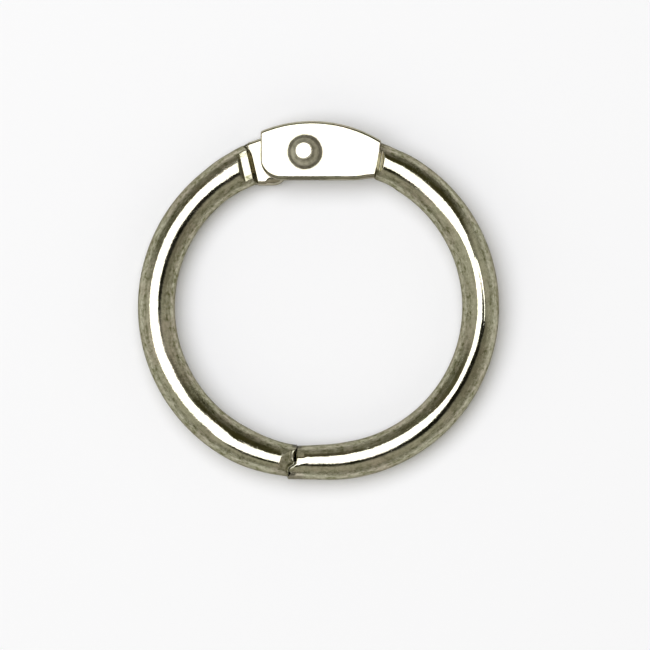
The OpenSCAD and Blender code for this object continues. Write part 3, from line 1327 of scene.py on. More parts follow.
class RightHalf(HalfRing):
    """The half that turns, with the wide plate in front."""

    SIDE = Side.RIGHT
    NAME = "right_half_ring"
    BODY = "right_side"
    NODE = "right_half"
    MARKS = WireMarks(
        ridges=(
            Ledge(run=(62.0, 106.0), fade=28.0, track=(-0.52, -0.42), high=0.085, wide=0.24),
            Ridge(run=(96.0, 120.0), fade=18.0, track=(0.6, 0.6), high=0.1, wide=0.85),
            Ridge(run=(76.0, 84.0), fade=8.0, track=(0.6, 0.6), high=0.075, wide=0.85),
            Ledge(run=(84.0, 104.0), fade=6.0, track=(0.37, 0.28), high=0.03, wide=0.09),
            Ridge(run=(-30.0, -10.0), fade=4.0, track=(0.55, 0.55), high=0.06, wide=0.55),
        ),
        worn_from=-0.4,
        outer_pinch=0.5,
        gape=0.06,
        bevel_at=0.35,
        bevel_reach=0.42,
        bevel_wide=0.14,
        bevel_fall=0.27,
        # The bevel's rim, the round shadow in the gap and the patches beside the cut are painted shade; the
        # sheen patch is smoother and paler, a painted highlight.
        bevel_shade_level=0.2,
        bevel_bright=0.0,
        bevel_glint_shade=0.0,
        gap_shadow=1.0,
        gap_shadow_reach=0.5,
        shade_patches=(INNER_EDGE_SHADE, Patch(strength=0.7, across=(1.14, 1.3), along=(0.7, 1.3), behind=True)),
        sheen_patches=(Patch(strength=1.0, across=(0.75, 0.95), along=(0.8, 1.2)),),
        valley_at=-0.25,
    )

    def __init__(self, plan: RingPlan, lap: LapSizes, cut: CutSizes, sizes: PlateSizes) -> None:
        """Sets the plate's outline.

        Args:
            plan: the ring's main lines.
            lap: what the flattened ends share.
            cut: the closing cut.
            sizes: the plate's sizes.
        """
        bore_r = lap.shank_r + lap.pivot_fit
        free = FreeEnd(plan.plate_x, sizes.corner_r, bore_r, sizes.spacing, sizes.turn)
        super().__init__(plan, lap, cut, sizes.across, sizes.lean, free)
        self.sizes = sizes
        self.crown = sizes.crown_at(plan)
        self.floor = plan.pivot.y - sizes.below

    def wire_loop(self, along: float) -> list[Vector]:
        """The wire's section, with the groove pressed beside the plate.

        Args:
            along: distance from the shoulder's edge, towards the rivet.

        Returns:
            The loop.
        """
        sizes = self.sizes
        loop = Outline.round(self.plan.wire_r, self.plan.wire_r)
        from_middle = abs(along + sizes.groove_r)
        if from_middle >= sizes.groove_r:
            return loop
        depth = sizes.groove_r + soft_least(-from_middle, 0.0, sizes.groove_soft)
        return Outline.pressed(loop, self.FRONT, self.lap.face - depth, sizes.groove_edge)

    def closing_loop(self, length: float) -> list[Vector]:
        """The wire's section, with the small flat on the closing end.

        Args:
            length: how far from the cut's middle.

        Returns:
            The loop.
        """
        sizes = self.sizes
        loop = self.plain_loop(length)
        turn = math.radians(sizes.flat_facing)
        facing = Vector((-math.sin(turn), math.cos(turn)))
        depth = sizes.flat_depth * (1 - ramp(sizes.flat - sizes.flat_run, sizes.flat, length))
        if depth <= 0:
            return loop
        return Outline.pressed(loop, facing, self.plan.wire_r - depth, sizes.flat_edge)

    def notched(self, height: float, depth: float) -> float:
        """How far the end draws back along the wire, with the notch at the outer edge of its front."""
        notch = self.cut.notch * eased(*self.cut.notch_inner, height) * eased(*self.cut.notch_outer, height)
        return notch * eased(*self.cut.notch_depth, depth) + super().notched(height, depth)

    def edges(self, x: float) -> Span:
        """The plate's lower and upper Y at an X.

        Args:
            x: where to look.

        Returns:
            The two heights.
        """
        sizes, corner = self.sizes, self.sizes.corner_r
        rise = max(0.0, sizes.crown_r ** 2 - (x - self.crown.x) ** 2)
        low = self.floor + sizes.lift * eased(*sizes.lift_run, x)
        into = self.plan.plate_x + corner - x
        if into > 0:
            low += corner - math.sqrt(max(0.0, corner * corner - into * into))
        return low, self.crown.y + math.sqrt(rise)

    def step_shares(self, along: float) -> list[float]:
        """For each point of a row, how far it has gone: the front steps down more quickly than the back.

        Args:
            along: distance from the shoulder's edge, towards the rivet.

        Returns:
            The shares.
        """
        sizes = self.sizes
        front = ramp(*sizes.front_step, along, sizes.front_soft)
        heights = (point.y for point in Outline.round(1.0, 1.0))
        return [
            back + (front - back) * eased(*sizes.front_part, height)
            for back, height in zip(super().step_shares(along), heights)
        ]

    def edge_shade(self, gone: float) -> float:
        """The straight edge is painted darker below the rivet, as shade, less so beside the shoulder and at
        the corner.
        """
        below = eased(*self.sizes.edge_shade_from, gone) * (1 - eased(*self.sizes.edge_shade_to, gone))
        return self.sizes.edge_shade + self.sizes.edge_shade_more * below


# ---------------------------------------------------------------- the rivet


@dataclass(frozen=True)
class HingeRivet:
    """The rivet with a flat-topped head on each side, in millimetres."""

    plan: RingPlan
    lap: LapSizes
    head_h: float = 0.45
    flat_r: float = 0.6  # radius of the flat on each head
    round_r: float = 0.38  # radius that rounds the flat into the slope
    round_steps: int = 10
    slope: float = 30.0  # steepness of the slope round the flat, in degrees
    rim_h: float = 0.03  # height of the rim at the slope's foot
    rim_in: float = 0.02  # least distance between the slope's foot and the rim
    cone_share: float = 0.09  # spacing on the slope, as a share of its length
    aside: Span = (-0.1, 0.1)  # how far each flat lies off the axis
    steps: int = 144
    foot: float = 0.95  # how dark the slope's foot is painted, as shade where the head sits on the plate, 0 to 1
    foot_at: float = 0.13  # distance from the rim to its darkest place
    foot_wide: float = 0.14
    brim: float = 0.5  # how dark the ring round the flat is painted, as shade, 0 to 1
    brim_at: float = 0.24  # distance from the flat to its darkest place
    brim_wide: float = 0.12
    bright_past: float = 0.1  # how far past the flat it is bright
    rough_smooth: float = 0.3  # how smooth the rest is, 0 to 1

    NAME = "hinge_rivet_formed"
    BODY = "left_side"
    NODE = "hinge_rivet"
    SLOT = "nickel_rivet"

    def head_profile(self) -> list[Vector]:
        """Half section of a head, from the seat's rim to the flat's rim.

        Returns:
            Its points as (radius, height).
        """
        slope = math.radians(self.slope)
        turned = [slope * index / self.round_steps for index in range(self.round_steps + 1)]
        rounded = [
            Vector((self.flat_r + self.round_r * math.sin(turn),
                    self.head_h - self.round_r * (1 - math.cos(turn))))
            for turn in reversed(turned)
        ]
        top = rounded[0]
        rim_r = min(top.x + (top.y - self.rim_h) / math.tan(slope), self.plan.head_r - self.rim_in)
        rim = Vector((rim_r, self.rim_h))
        cone = [rim.lerp(top, share) for share in stops(0.0, 1.0, self.cone_share)]
        side = [Vector((self.plan.head_r, 0.0)), Vector((self.plan.head_r, self.rim_h / 2))]
        return side + cone + rounded

    def build(self) -> bpy.types.Object:
        """Spins the rivet's half section round its axis.

        Returns:
            The finished piece.
        """
        plan, shank_r, head = self.plan, self.lap.shank_r, self.head_profile()
        seat_top = plan.head_top - self.head_h
        seat_low = plan.head_low + self.head_h
        section = [Vector((0.0, plan.head_low))]
        section += [Vector((point.x, seat_low - point.y)) for point in reversed(head)]
        section += [Vector((shank_r, seat_low)), Vector((shank_r, seat_top))]
        section += [Vector((point.x, seat_top + point.y)) for point in head]
        section += [Vector((0.0, plan.head_top))]
        mesh = bmesh.new()
        verts = [mesh.verts.new((plan.pivot.x + p.x, plan.pivot.y, p.y)) for p in section]
        edges = [mesh.edges.new(pair) for pair in zip(verts, verts[1:])]
        bmesh.ops.spin(mesh, geom=verts + edges, cent=plan.pivot.to_3d(), axis=(0, 0, 1),
                       angle=math.tau, steps=self.steps, use_merge=True, use_duplicate=False)
        bmesh.ops.remove_doubles(mesh, verts=mesh.verts, dist=MERGED)
        self._mark(mesh)
        for vert in mesh.verts:
            high = abs(vert.co.z) - min(seat_top, -seat_low)
            vert.co.xy += Vector(self.aside) * eased(self.rim_h, self.head_h, high)
        return Bench.finish(mesh, self.NAME)

    def _mark(self, mesh: bmesh.types.BMesh) -> None:
        """Writes the turned grain, the painted shade at the head's foot and round its flat, and the
        smoothness that the finish reads.

        Args:
            mesh: the rivet's mesh, before its flats are moved off the axis.
        """
        grain, painted_shade, smooth = metal_layers(mesh)
        for vert in mesh.verts:
            away = vert.co.xy - self.plan.pivot
            radius = away.length
            turn = math.atan2(away.y, away.x)
            vert[grain] = Vector((math.sin(turn), radius, vert.co.z))
            foot = self.foot * bell(self.plan.head_r - radius - self.foot_at, self.foot_wide)
            brim = self.brim * bell(radius - self.flat_r - self.brim_at, self.brim_wide)
            vert[painted_shade] = max(foot, brim)
            vert[smooth] = 1.0 if radius < self.flat_r + self.bright_past else self.rough_smooth

    def dress(self, finish: bpy.types.Material) -> None:
        """Builds the rivet and puts it in place with its finish."""
        place(self.build(), self.BODY, self.NODE, self.SLOT, finish)


# ---------------------------------------------------------------- finishes


class Effect(Enum):
    """Shader node groups that more than one finish uses."""

    GRAIN = "drawn grain"
    SCRATCHES = "handling scratches"
    # The plating's tone, with the painted shade mixed in.
    TONE = "plating tone"


class NodeBench:
    """Places and joins the shader nodes of one tree."""

    def __init__(self, tree: bpy.types.NodeTree) -> None:
        """Works on a node tree."""
        self.tree = tree

    def join(self, source: object, target: Socket) -> None:
        """Links a socket to another one, or writes a plain value or colour into it.

        Args:
            source: the socket, value or colour.
            target: the socket that takes it.
        """
        if isinstance(source, Socket):
            self.tree.links.new(source, target)
        elif target.type == "RGBA":
            target.default_value = (*source, 1.0)
        else:
            target.default_value = source

    def feed(self, node: bpy.types.Node, **given: object) -> bpy.types.Node:
        """Joins sockets or plain values to a node's inputs by name.

        Args:
            node: the node.
            given: what goes into each input, with _ for a space in its name.

        Returns:
            The node.
        """
        for name, source in given.items():
            self.join(source, node.inputs[name.replace("_", " ")])
        return node

    def add(self, kind: str, *given: object, **settings: object) -> bpy.types.Node:
        """Adds a node.

        Args:
            kind: the node's type, without its prefix.
            given: sockets or plain values for its inputs, in order.
            settings: attributes to set on it.

        Returns:
            The node.
        """
        node = self.tree.nodes.new(f"ShaderNode{kind}")
        for name, value in settings.items():
            setattr(node, name, value)
        for source, target in zip(given, node.inputs):
            self.join(source, target)
        return node

    def math(self, operation: str, one: object, other: object = 0.0) -> Socket:
        """What a Math node makes of two sockets or plain values."""
        return self.add("Math", one, other, operation=operation).outputs[0]

    def attribute(self, name: str) -> bpy.types.Node:
        """A node that reads one of the layers that the mesh carries."""
        return self.add("Attribute", attribute_name=name, attribute_type="GEOMETRY")

    def scaled(self, vector: Socket, scale: Triple,
               turn: Triple = (0.0, 0.0, 0.0)) -> Socket:
        """A vector turned about each axis, in radians, and then scaled along each axis."""
        turned = self.feed(self.add("Mapping", vector_type="POINT"), Rotation=turn, Vector=vector)
        return self.add("VectorMath", turned.outputs[0], scale, operation="MULTIPLY").outputs[0]

    def noise(self, vector: Socket, scale: float = 1.0, detail: float = 2.0,
              roughness: float = 0.5) -> Socket:
        """A noise pattern's value, by how fine it is, its count of finer layers and their strength."""
        node = self.add("TexNoise")
        return self.feed(node, Scale=scale, Detail=detail, Roughness=roughness, Vector=vector).outputs[0]

    def spread(self, value: Socket, low: float, high: float,
               to_low: float = 0.0, to_high: float = 1.0) -> Socket:
        """A value moved smoothly from the range of low to high to that of to_low to to_high."""
        node = self.add("MapRange", value, low, high, to_low, to_high, interpolation_type="SMOOTHSTEP")
        return node.outputs["Result"]

    def mixed(self, share: Socket, one: object, other: object) -> Socket:
        """A colour part way from one colour or socket to another.

        Args:
            share: how much of the second.
            one: the first.
            other: the second.

        Returns:
            The colour's socket.
        """
        node = self.add("Mix", share, data_type="RGBA")
        colours = (socket for socket in node.inputs if socket.type == "RGBA")
        for source, target in zip((one, other), colours):
            self.join(source, target)
        return next(socket for socket in node.outputs if socket.type == "RGBA")


class EffectBench(NodeBench):
    """A bench for one new shared node group with named sockets."""

    def __init__(self, effect: Effect, inputs: dict, outputs: dict) -> None:
        """Makes the empty group.

        Args:
            effect: which effect it is for.
            inputs: socket type and default by name.
            outputs: socket type by name.
        """
        super().__init__(bpy.data.node_groups.new(effect.value, "ShaderNodeTree"))
        sockets = self.tree.interface
        for name, (kind, default) in inputs.items():
            socket = sockets.new_socket(name=name, in_out="INPUT", socket_type=f"NodeSocket{kind}")
            if default is not None:
                socket.default_value = default
        for name, kind in outputs.items():
            sockets.new_socket(name=name, in_out="OUTPUT", socket_type=f"NodeSocket{kind}")
        self.given = self.tree.nodes.new("NodeGroupInput").outputs
        self.out = self.tree.nodes.new("NodeGroupOutput").inputs


class EffectLibrary:
    """Builds each shared node group once."""

    COARSE = 2.2  # how strong the broad grain lines are beside the fine ones
    # Direction, length and fineness of each set of hair scratches.
    HAIRS = ((0.4, 0.35, 16.0), (1.7, 0.5, 21.0), (2.7, 0.25, 13.0))
    FLAT_HAIR = 0.6  # fineness of those scratches through the metal, as a share
    TILT = 0.3  # their lean out of the ring's plane, as a share of their direction
    LEAN = 0.2  # their second lean, in radians
    SPECKED = 0.65  # how much the specks dim the plate
    STREAKED = 0.6  # how much the streaks dim it
    SMOOTHED = 0.62  # how much of that goes where the metal is smooth
    PATCHED = 0.25  # how much duller the warm patches are

    @cache
    def get(self, effect: Effect) -> bpy.types.NodeTree:
        """The group of an effect, built on first use."""
        builders = {Effect.GRAIN: self._grain, Effect.SCRATCHES: self._scratches, Effect.TONE: self._tone}
        return builders[effect]()

    def _grain(self) -> bpy.types.NodeTree:
        """Lines that run along the metal, left by drawing or turning it, from hair-fine to broad.

        Returns:
            The group.
        """
        bench = EffectBench(
            Effect.GRAIN,
            {"Grain": ("Vector", None), "Fineness": ("Float", 9.0), "Run": ("Float", 0.12)},
            {"Height": "Float", "Streak": "Float", "Band": "Float"},
        )
        parts = bench.add("SeparateXYZ", bench.given["Grain"])
        lines = bench.add("CombineXYZ")
        for part, scale, target in zip(parts.outputs, ("Run", "Fineness", "Fineness"), lines.inputs):
            bench.join(bench.math("MULTIPLY", part, bench.given[scale]), target)
        at = lines.outputs[0]
        fine = bench.noise(at, detail=3.0, roughness=0.6)
        streak = bench.noise(bench.scaled(at, (2.2, 0.42, 0.42)))
        band = bench.noise(bench.scaled(at, (1.0, 0.15, 0.15)))
        coarse = bench.math("MULTIPLY", streak, self.COARSE)
        bench.join(bench.math("ADD", fine, coarse), bench.out["Height"])
        bench.join(bench.spread(streak, low=0.3, high=0.7), bench.out["Streak"])
        bench.join(bench.spread(band, low=0.32, high=0.68), bench.out["Band"])
        return bench.tree

    def _scratches(self) -> bpy.types.NodeTree:
        """Hair scratches in a few directions, and small tumbling dents.

        Returns:
            The group.
        """
        bench = EffectBench(
            Effect.SCRATCHES,
            {"Place": ("Vector", None), "Amount": ("Float", 0.5)},
            {"Mask": "Float", "Dents": "Float"},
        )
        at = bench.given["Place"]
        total: object = 0.0
        for turn, stretch, fine in self.HAIRS:
            size = (stretch, fine, fine * self.FLAT_HAIR)
            hair = bench.noise(bench.scaled(at, size, (self.TILT * turn, self.LEAN, turn)))
            total = bench.math("MAXIMUM", bench.spread(hair, low=0.66, high=0.74), total)
        patch = bench.spread(bench.noise(at, scale=0.45), low=0.35, high=0.65)
        mask = bench.math("MULTIPLY", bench.math("MULTIPLY", total, patch), bench.given["Amount"])
        bench.join(mask, bench.out["Mask"])
        bench.join(bench.noise(at, scale=1.1, detail=3.0, roughness=0.55), bench.out["Dents"])
        return bench.tree

    def _tone(self) -> bpy.types.NodeTree:
        """Uneven plating: warmer patches, dull streaks and specks, and painted shade where the mesh and the
        seat mark it.

        Returns:
            The group.
        """
        bench = EffectBench(
            Effect.TONE,
            {"Place": ("Vector", None), "Recess": ("Float", 0.0), "Smooth": ("Float", 0.0),
             "Streak": ("Float", 0.5), "Bright": ("Color", None), "Warm": ("Color", None),
             "Dim": ("Color", None), "Tarnish": ("Color", None)},
            {"Color": "Color", "Dull": "Float", "ShadeMask": "Float"},
        )
        given, at = bench.given, bench.given["Place"]
        warm = bench.noise(at, scale=0.35, detail=4.0, roughness=0.6)
        patches = bench.spread(warm, low=0.38, high=0.66)
        colour = bench.mixed(patches, given["Bright"], given["Warm"])
        specks = bench.spread(bench.noise(at, scale=3.8, detail=4.0, roughness=0.75), low=0.36, high=0.64)
        mottle = bench.noise(at, scale=1.7, detail=3.0, roughness=0.6)
        specked = bench.math("MULTIPLY", specks, self.SPECKED)
        dim = bench.math("ADD", specked, bench.math("MULTIPLY", given["Streak"], self.STREAKED))
        dim = bench.math("MULTIPLY", dim, bench.spread(mottle, low=0.3, high=0.7, to_low=0.45))
        rough = bench.math("SUBTRACT", 1.0, bench.math("MULTIPLY", given["Smooth"], self.SMOOTHED))
        colour = bench.mixed(bench.math("MULTIPLY", dim, rough), colour, given["Dim"])
        # The painted shade, a little uneven, turns the colour towards the shade colour.
        uneven = bench.spread(mottle, low=0.25, high=0.75, to_low=0.7)
        deep = bench.math("MULTIPLY", given["Recess"], uneven)
        bench.join(bench.mixed(deep, colour, given["Tarnish"]), bench.out["Color"])
        bench.join(deep, bench.out["ShadeMask"])
        dull = bench.math("ADD", deep, bench.math("MULTIPLY", patches, self.PATCHED))
        bench.join(dull, bench.out["Dull"])
        return bench.tree


@dataclass(frozen=True)
class NickelFinish:
    """Bright nickel plate over steel."""

    name: str
    joint_at: Span  # where the rivet's head seats, in millimetres
    joint_r: float  # radius of that seat
    bright: Triple = (0.57, 0.555, 0.42)
    warm: Triple = (0.60, 0.54, 0.43)
    dim: Triple = (0.15, 0.15, 0.07)
    shade_colour: Triple = (0.055, 0.047, 0.025)  # colour of the painted shade
    shade_metal_fade: Span = (0.5, 0.9)  # depths of painted shade between which it stops looking like metal
    shade_metal: float = 0.2  # how metallic the darkest painted shade is, 0 to 1
    joint_shade: float = 0.85  # how dark the painted shade beside the rivet head's seat is, 0 to 1
    joint_fade: Span = (0.03, 0.14)  # distances from the seat's rim between which it ends, in millimetres
    edge_tint: Triple = (0.42, 0.41, 0.37)  # how much of the glancing reflection is left
    polish: float = 0.06
    matt: float = 0.20  # how much rougher it is where nothing has smoothed it
    matt_to: float = 0.9  # smoothness from which it is as bright as it gets
    band_rough: float = 0.06  # how much rougher the broad bands along the metal are
    scratch_rough: float = 0.18
    dull_rough: float = 0.16
    fineness: float = 9.0  # how close the grain lines lie
    run: float = 0.5  # how quickly the grain changes along the metal
    grain_depth: float = 0.0000035  # height of the grain, in metres
    pit_scale: float = 3.4
    pit_depth: float = 0.000020
    smooth_left: float = 0.28  # how much of grain and pits is left where it is smooth
    dent_depth: float = 0.000011
    scratch_depth: float = 0.000002
    scratch_amount: float = 0.7

    def material(self, effects: EffectLibrary) -> bpy.types.Material:
        """Builds the finish as a node material.

        Args:
            effects: the shared node groups.

        Returns:
            The material.
        """
        material = bpy.data.materials.new(self.name)
        material.use_nodes = True
        bench = NodeBench(material.node_tree)
        place = bench.scaled(bench.add("TexCoord").outputs["Object"], (1 / MM, 1 / MM, 1 / MM))
        along = bench.attribute("grain").outputs["Vector"]
        painted_shade = bench.attribute("painted_shade").outputs["Fac"]
        smooth = bench.attribute("smooth").outputs["Fac"]
        grain, scratches, tone = (bench.add("Group", node_tree=effects.get(effect)) for effect in Effect)
        bench.feed(grain, Grain=along, Fineness=self.fineness, Run=self.run)
        bench.feed(scratches, Place=place, Amount=self.scratch_amount)
        bench.feed(tone, Place=place, Recess=self._joint(bench, place, painted_shade), Smooth=smooth,
                   Streak=grain.outputs["Streak"], Bright=self.bright, Warm=self.warm, Dim=self.dim,
                   Tarnish=self.shade_colour)
        # Where shade is painted, the metal also turns less metallic.
        metal = bench.spread(tone.outputs["ShadeMask"], *self.shade_metal_fade, 1.0, self.shade_metal)

        rough = bench.math("MULTIPLY", grain.outputs["Band"], self.band_rough)
        scratched = bench.math("MULTIPLY", scratches.outputs["Mask"], self.scratch_rough)
        dull = bench.math("MULTIPLY", tone.outputs["Dull"], self.dull_rough)
        matt = bench.spread(smooth, low=0.0, high=self.matt_to, to_low=self.matt, to_high=0.0)
        for more in (scratched, dull, matt, self.polish):
            rough = bench.math("ADD", rough, more)

        high = bench.math("MULTIPLY", grain.outputs["Height"], self.grain_depth)
        pits = bench.noise(place, scale=self.pit_scale, roughness=0.6)
        high = bench.math("ADD", high, bench.math("MULTIPLY", pits, self.pit_depth))
        left = bench.spread(smooth, low=0.0, high=1.0, to_low=1.0, to_high=self.smooth_left)
        high = bench.math("MULTIPLY", high, left)
        high = bench.math("ADD", high, bench.math("MULTIPLY", scratches.outputs["Dents"], self.dent_depth))
        cut = bench.math("MULTIPLY", scratches.outputs["Mask"], self.scratch_depth)
        high = bench.math("SUBTRACT", high, cut)
        bump = bench.feed(bench.add("Bump"), Distance=1.0, Strength=1.0, Height=high)
        bench.feed(bench.tree.nodes["Principled BSDF"], Base_Color=tone.outputs["Color"], Metallic=metal,
                   Roughness=rough, Specular_Tint=self.edge_tint, Normal=bump.outputs["Normal"])
        return material

    def _joint(self, bench: NodeBench, place: Socket,
               painted_shade: Socket) -> Socket:
        """Adds painted shade round the rivet head's seat to the painted shade that the mesh gives.

        Args:
            bench: the material's bench.
            place: where on the metal, in millimetres.
            painted_shade: the painted shade that the mesh gives.

        Returns:
            How dark the painted shade is at each place, 0 to 1.
        """
        flat = bench.scaled(place, (1.0, 1.0, 0.0))
        away = bench.add("VectorMath", flat, (*self.joint_at, 0.0), operation="DISTANCE")
        off = bench.math("ABSOLUTE", bench.math("SUBTRACT", away.outputs["Value"], self.joint_r))
        shade_level = bench.spread(off, *self.joint_fade, self.joint_shade, 0.0)
        return bench.math("MAXIMUM", painted_shade, shade_level)


# ---------------------------------------------------------------- the studio


@dataclass(frozen=True)
class RoomPatch:
    """A darker or paler part of the room."""

    lean: Span  # its middle, east and north of straight up, in degrees
    inner: float  # angle within which it is at its full strength, in degrees
    outer: float  # angle at which it has faded out, in degrees
    colour: Triple


@dataclass(frozen=True)
class Studio:
    """A pale floor, soft light and a camera that looks straight down."""

    plan: RingPlan
    picture: int = 650  # width of the view, in pixels
    pixel: float = 0.0891  # size of a pixel at the ring, in millimetres
    ring_at: Span = (318.5, 307.0)  # where the middle of the bends lies in the view, in pixels
    height: float = 1000.0
    sensor: float = 36.0
    near: float = 0.001  # distance from which the camera sees, in metres
    floor_size: float = 600.0
    floor_colour: Triple = (0.97, 0.97, 0.97)
    floor_rough: float = 0.9
    lamp_lean: Span = (-13.0, 9.0)  # the lamp's lean east and north of straight up, in degrees
    lamp_far: float = 1500.0  # its distance from the ring, in millimetres
    lamp_spread: Span = (34.0, 23.5)  # its two angular radii, in degrees
    lamp_turn: float = 45.0  # how far its longer axis is turned from +X, in degrees
    lamp_glow: float = 3.45  # its brightness, where 1 is a white wall
    lamp_colour: Triple = (0.972, 0.98, 1.04)
    horizon: Triple = (0.31, 0.30, 0.26)
    overhead: Triple = (0.48, 0.465, 0.40)
    overhead_from: float = 0.55  # height in a direction, 0 to 1, from which that colour is reached
    frame_colour: Triple = (0.03, 0.03, 0.015)
    frame_lean: Span = (-10.0, 5.8)  # lean of the lamp's dark frame, in degrees
    # Where the frame starts and stops fading, as a share of the lamp's size.
    frame_edge: Span = (1.35, 1.9)
    patches: tuple[RoomPatch, ...] = (
        RoomPatch(lean=(30.0, 0.0), inner=5.0, outer=20.0, colour=(0.46, 0.45, 0.40)),
        RoomPatch(lean=(65.0, 8.0), inner=15.0, outer=35.0, colour=(0.56, 0.55, 0.49)),
        RoomPatch(lean=(-50.0, -30.0), inner=12.0, outer=32.0, colour=(0.58, 0.57, 0.50)),
        RoomPatch(lean=(-72.0, -5.0), inner=15.0, outer=40.0, colour=(0.62, 0.61, 0.55)),
        RoomPatch(lean=(-11.0, 49.5), inner=5.0, outer=17.0, colour=(0.11, 0.10, 0.06)),
        RoomPatch(lean=(28.5, 42.0), inner=13.0, outer=29.0, colour=(0.06, 0.055, 0.02)),
        RoomPatch(lean=(66.5, 71.2), inner=12.0, outer=24.0, colour=(0.07, 0.065, 0.03)),
        RoomPatch(lean=(-58.6, 54.0), inner=14.0, outer=30.0, colour=(0.125, 0.12, 0.07)),
        RoomPatch(lean=(-41.0, 56.0), inner=8.0, outer=22.0, colour=(0.125, 0.12, 0.07)),
        RoomPatch(lean=(45.0, -20.0), inner=6.0, outer=19.0, colour=(0.26, 0.25, 0.20)),
        RoomPatch(lean=(19.0, -12.5), inner=9.0, outer=20.0, colour=(0.01, 0.01, 0.005)),
    )

    def camera(self) -> None:
        """Hangs the camera over the ring, so that the ring has its size and place in the view."""
        data = bpy.data.cameras.new("camera")
        data.sensor_width = self.sensor
        data.lens = self.sensor * self.height / (self.picture * self.pixel)
        data.clip_start = self.near
        camera = bpy.data.objects.new("camera", data)
        middle = self.picture / 2
        x = (middle - self.ring_at[0]) * self.pixel
        y = self.plan.mid_y + (self.ring_at[1] - middle) * self.pixel
        camera.location = Vector((x, y, self.height)) * MM
        bpy.context.scene.collection.objects.link(camera)
        bpy.context.scene.camera = camera

    def floor(self) -> None:
        """Lays the pale floor under the ring's lowest point."""
        mesh = bmesh.new()
        bmesh.ops.create_grid(mesh, x_segments=1, y_segments=1, size=self.floor_size)
        bmesh.ops.translate(mesh, vec=Vector((0, 0, self.plan.head_low)), verts=mesh.verts)
        plane = Bench.finish(mesh, "floor")
        plane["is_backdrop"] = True
        material = bpy.data.materials.new("pale floor")
        material.use_nodes = True
        bench = NodeBench(material.node_tree)
        bench.feed(bench.tree.nodes["Principled BSDF"], Base_Color=self.floor_colour,
                   Roughness=self.floor_rough, Specular_IOR_Level=0.0)
        plane.data.materials.append(material)

    @staticmethod
    def aim(east: float, north: float) -> Vector:
        """The direction that leans so many degrees towards +X and towards +Y from straight up."""
        return Vector((math.tan(math.radians(east)), math.tan(math.radians(north)), 1.0)).normalized()

    def axes(self, lean: Span) -> Matrix:
        """Axes that face the ring from a direction, turned as the lamp is.

        Args:
            lean: the direction's lean east and north of straight up, in degrees.

        Returns:
            The long axis, the short axis and the direction, as columns.
        """
        towards = self.aim(*lean)
        turn = math.radians(self.lamp_turn)
        across = towards.cross(Vector((math.cos(turn), math.sin(turn), 0.0))).normalized()
        return Matrix((across.cross(towards), across, towards)).transposed()

    def lamp(self) -> None:
        """Hangs the oval soft lamp over the ring, a little to the upper left."""
        long, short = (self.lamp_far * math.tan(math.radians(spread)) * MM for spread in self.lamp_spread)
        data = bpy.data.lights.new("overhead", "AREA")
        data.shape = "ELLIPSE"
        data.size = 2 * long
        data.size_y = 2 * short
        data.energy = self.lamp_glow * math.pi * math.pi * long * short
        data.color = self.lamp_colour
        lamp = bpy.data.objects.new("overhead", data)
        axes = self.axes(self.lamp_lean)
        lamp.location = axes.col[2] * self.lamp_far * MM
        lamp.rotation_euler = axes.to_euler()
        bpy.context.scene.collection.objects.link(lamp)

    def world(self) -> None:
        """Sets the room: dimmer at the horizon than overhead, dark round the lamp, with its patches."""
        world = bpy.data.worlds.new("room")
        bpy.context.scene.world = world
        world.use_nodes = True
        bench = NodeBench(world.node_tree)
        seen = bench.add("TexCoord").outputs["Generated"]
        parts = bench.add("SeparateXYZ", seen)
        risen = bench.spread(parts.outputs["Z"], low=0.0, high=self.overhead_from)
        colour = bench.mixed(risen, self.horizon, self.overhead)
        colour = bench.mixed(self.frame_share(bench, seen), colour, self.frame_colour)
        for patch in self.patches:
            near = self.along(bench, seen, self.aim(*patch.lean))
            limits = (math.cos(math.radians(angle)) for angle in (patch.outer, patch.inner))
            colour = bench.mixed(bench.spread(near, *limits), colour, patch.colour)
        bench.feed(world.node_tree.nodes["Background"], Color=colour)

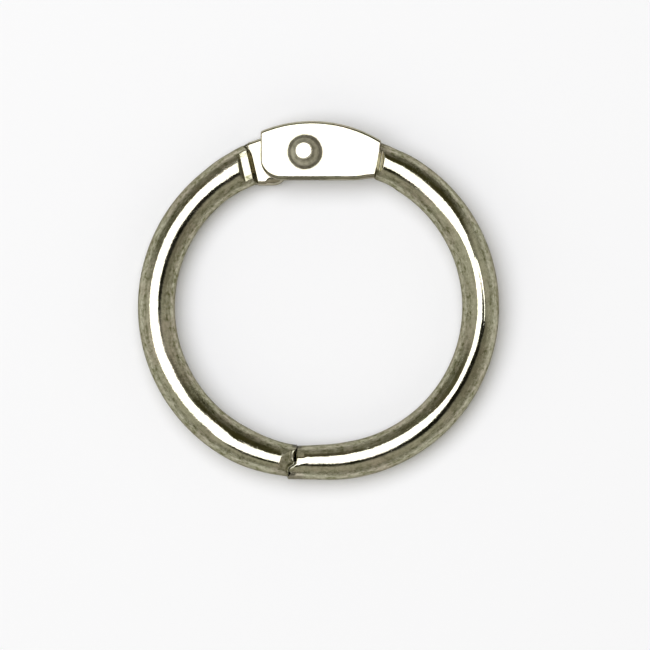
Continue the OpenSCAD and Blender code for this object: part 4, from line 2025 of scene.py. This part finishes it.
    @staticmethod
    def along(bench: NodeBench, seen: Socket, towards: Vector) -> Socket:
        """How far the direction looked in goes along another one."""
        return bench.add("VectorMath", seen, towards, operation="DOT_PRODUCT").outputs["Value"]

    def frame_share(self, bench: NodeBench, seen: Socket) -> Socket:
        """How much of the lamp's oval dark frame lies in a direction.

        Args:
            bench: the world's bench.
            seen: the direction looked in.

        Returns:
            1 inside the frame, 0 outside it.
        """
        *sides, middle = self.axes(self.frame_lean).col
        ahead = self.along(bench, seen, middle)
        shares = []
        for axis, spread in zip(sides, self.lamp_spread):
            aside = bench.math("DIVIDE", self.along(bench, seen, axis), ahead)
            share = bench.math("DIVIDE", aside, math.tan(math.radians(spread)))
            shares.append(bench.math("POWER", share, 2.0))
        size = bench.math("SQRT", bench.math("ADD", *shares))
        front = bench.math("GREATER_THAN", ahead, 0.0)
        return bench.math("MULTIPLY", bench.spread(size, *self.frame_edge, 1.0, 0.0), front)

    def build(self) -> None:
        """Hangs the camera, lays the floor, hangs the lamp and sets the room."""
        self.camera()
        self.floor()
        self.lamp()
        self.world()


# ---------------------------------------------------------------- assembly


def save_sizes() -> None:
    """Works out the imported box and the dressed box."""
    boxes = {"cad": CAD_BOX, "visual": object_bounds()}
    plain = {name: [list(corner) for corner in box] for name, box in boxes.items()}


def main() -> None:
    """Builds the ring, dresses it and sets the studio."""
    logging.basicConfig(level=logging.INFO, format="%(name)s: %(message)s")
    plan = RingPlan.from_frame()
    lap, cut, plate = LapSizes(), CutSizes(), PlateSizes()
    effects = EffectLibrary()
    seat = tuple(plan.pivot)
    wire = NickelFinish("nickel wire", seat, plan.head_r).material(effects)
    formed = NickelFinish(
        "nickel rivet", seat, plan.head_r, bright=(0.68, 0.65, 0.51), warm=(0.66, 0.61, 0.48),
        dim=(0.28, 0.27, 0.18), fineness=16.0, run=0.6, matt=0.6,
    ).material(effects)

    Studio(plan).build()
    LeftHalf(plan, lap, cut, TongueSizes(), plate).dress(wire)
    RightHalf(plan, lap, cut, plate).dress(wire)
    HingeRivet(plan, lap).dress(formed)

    bpy.context.scene.view_settings.view_transform = "Standard"
    save_sizes()


if __name__ == "__main__":
    main()
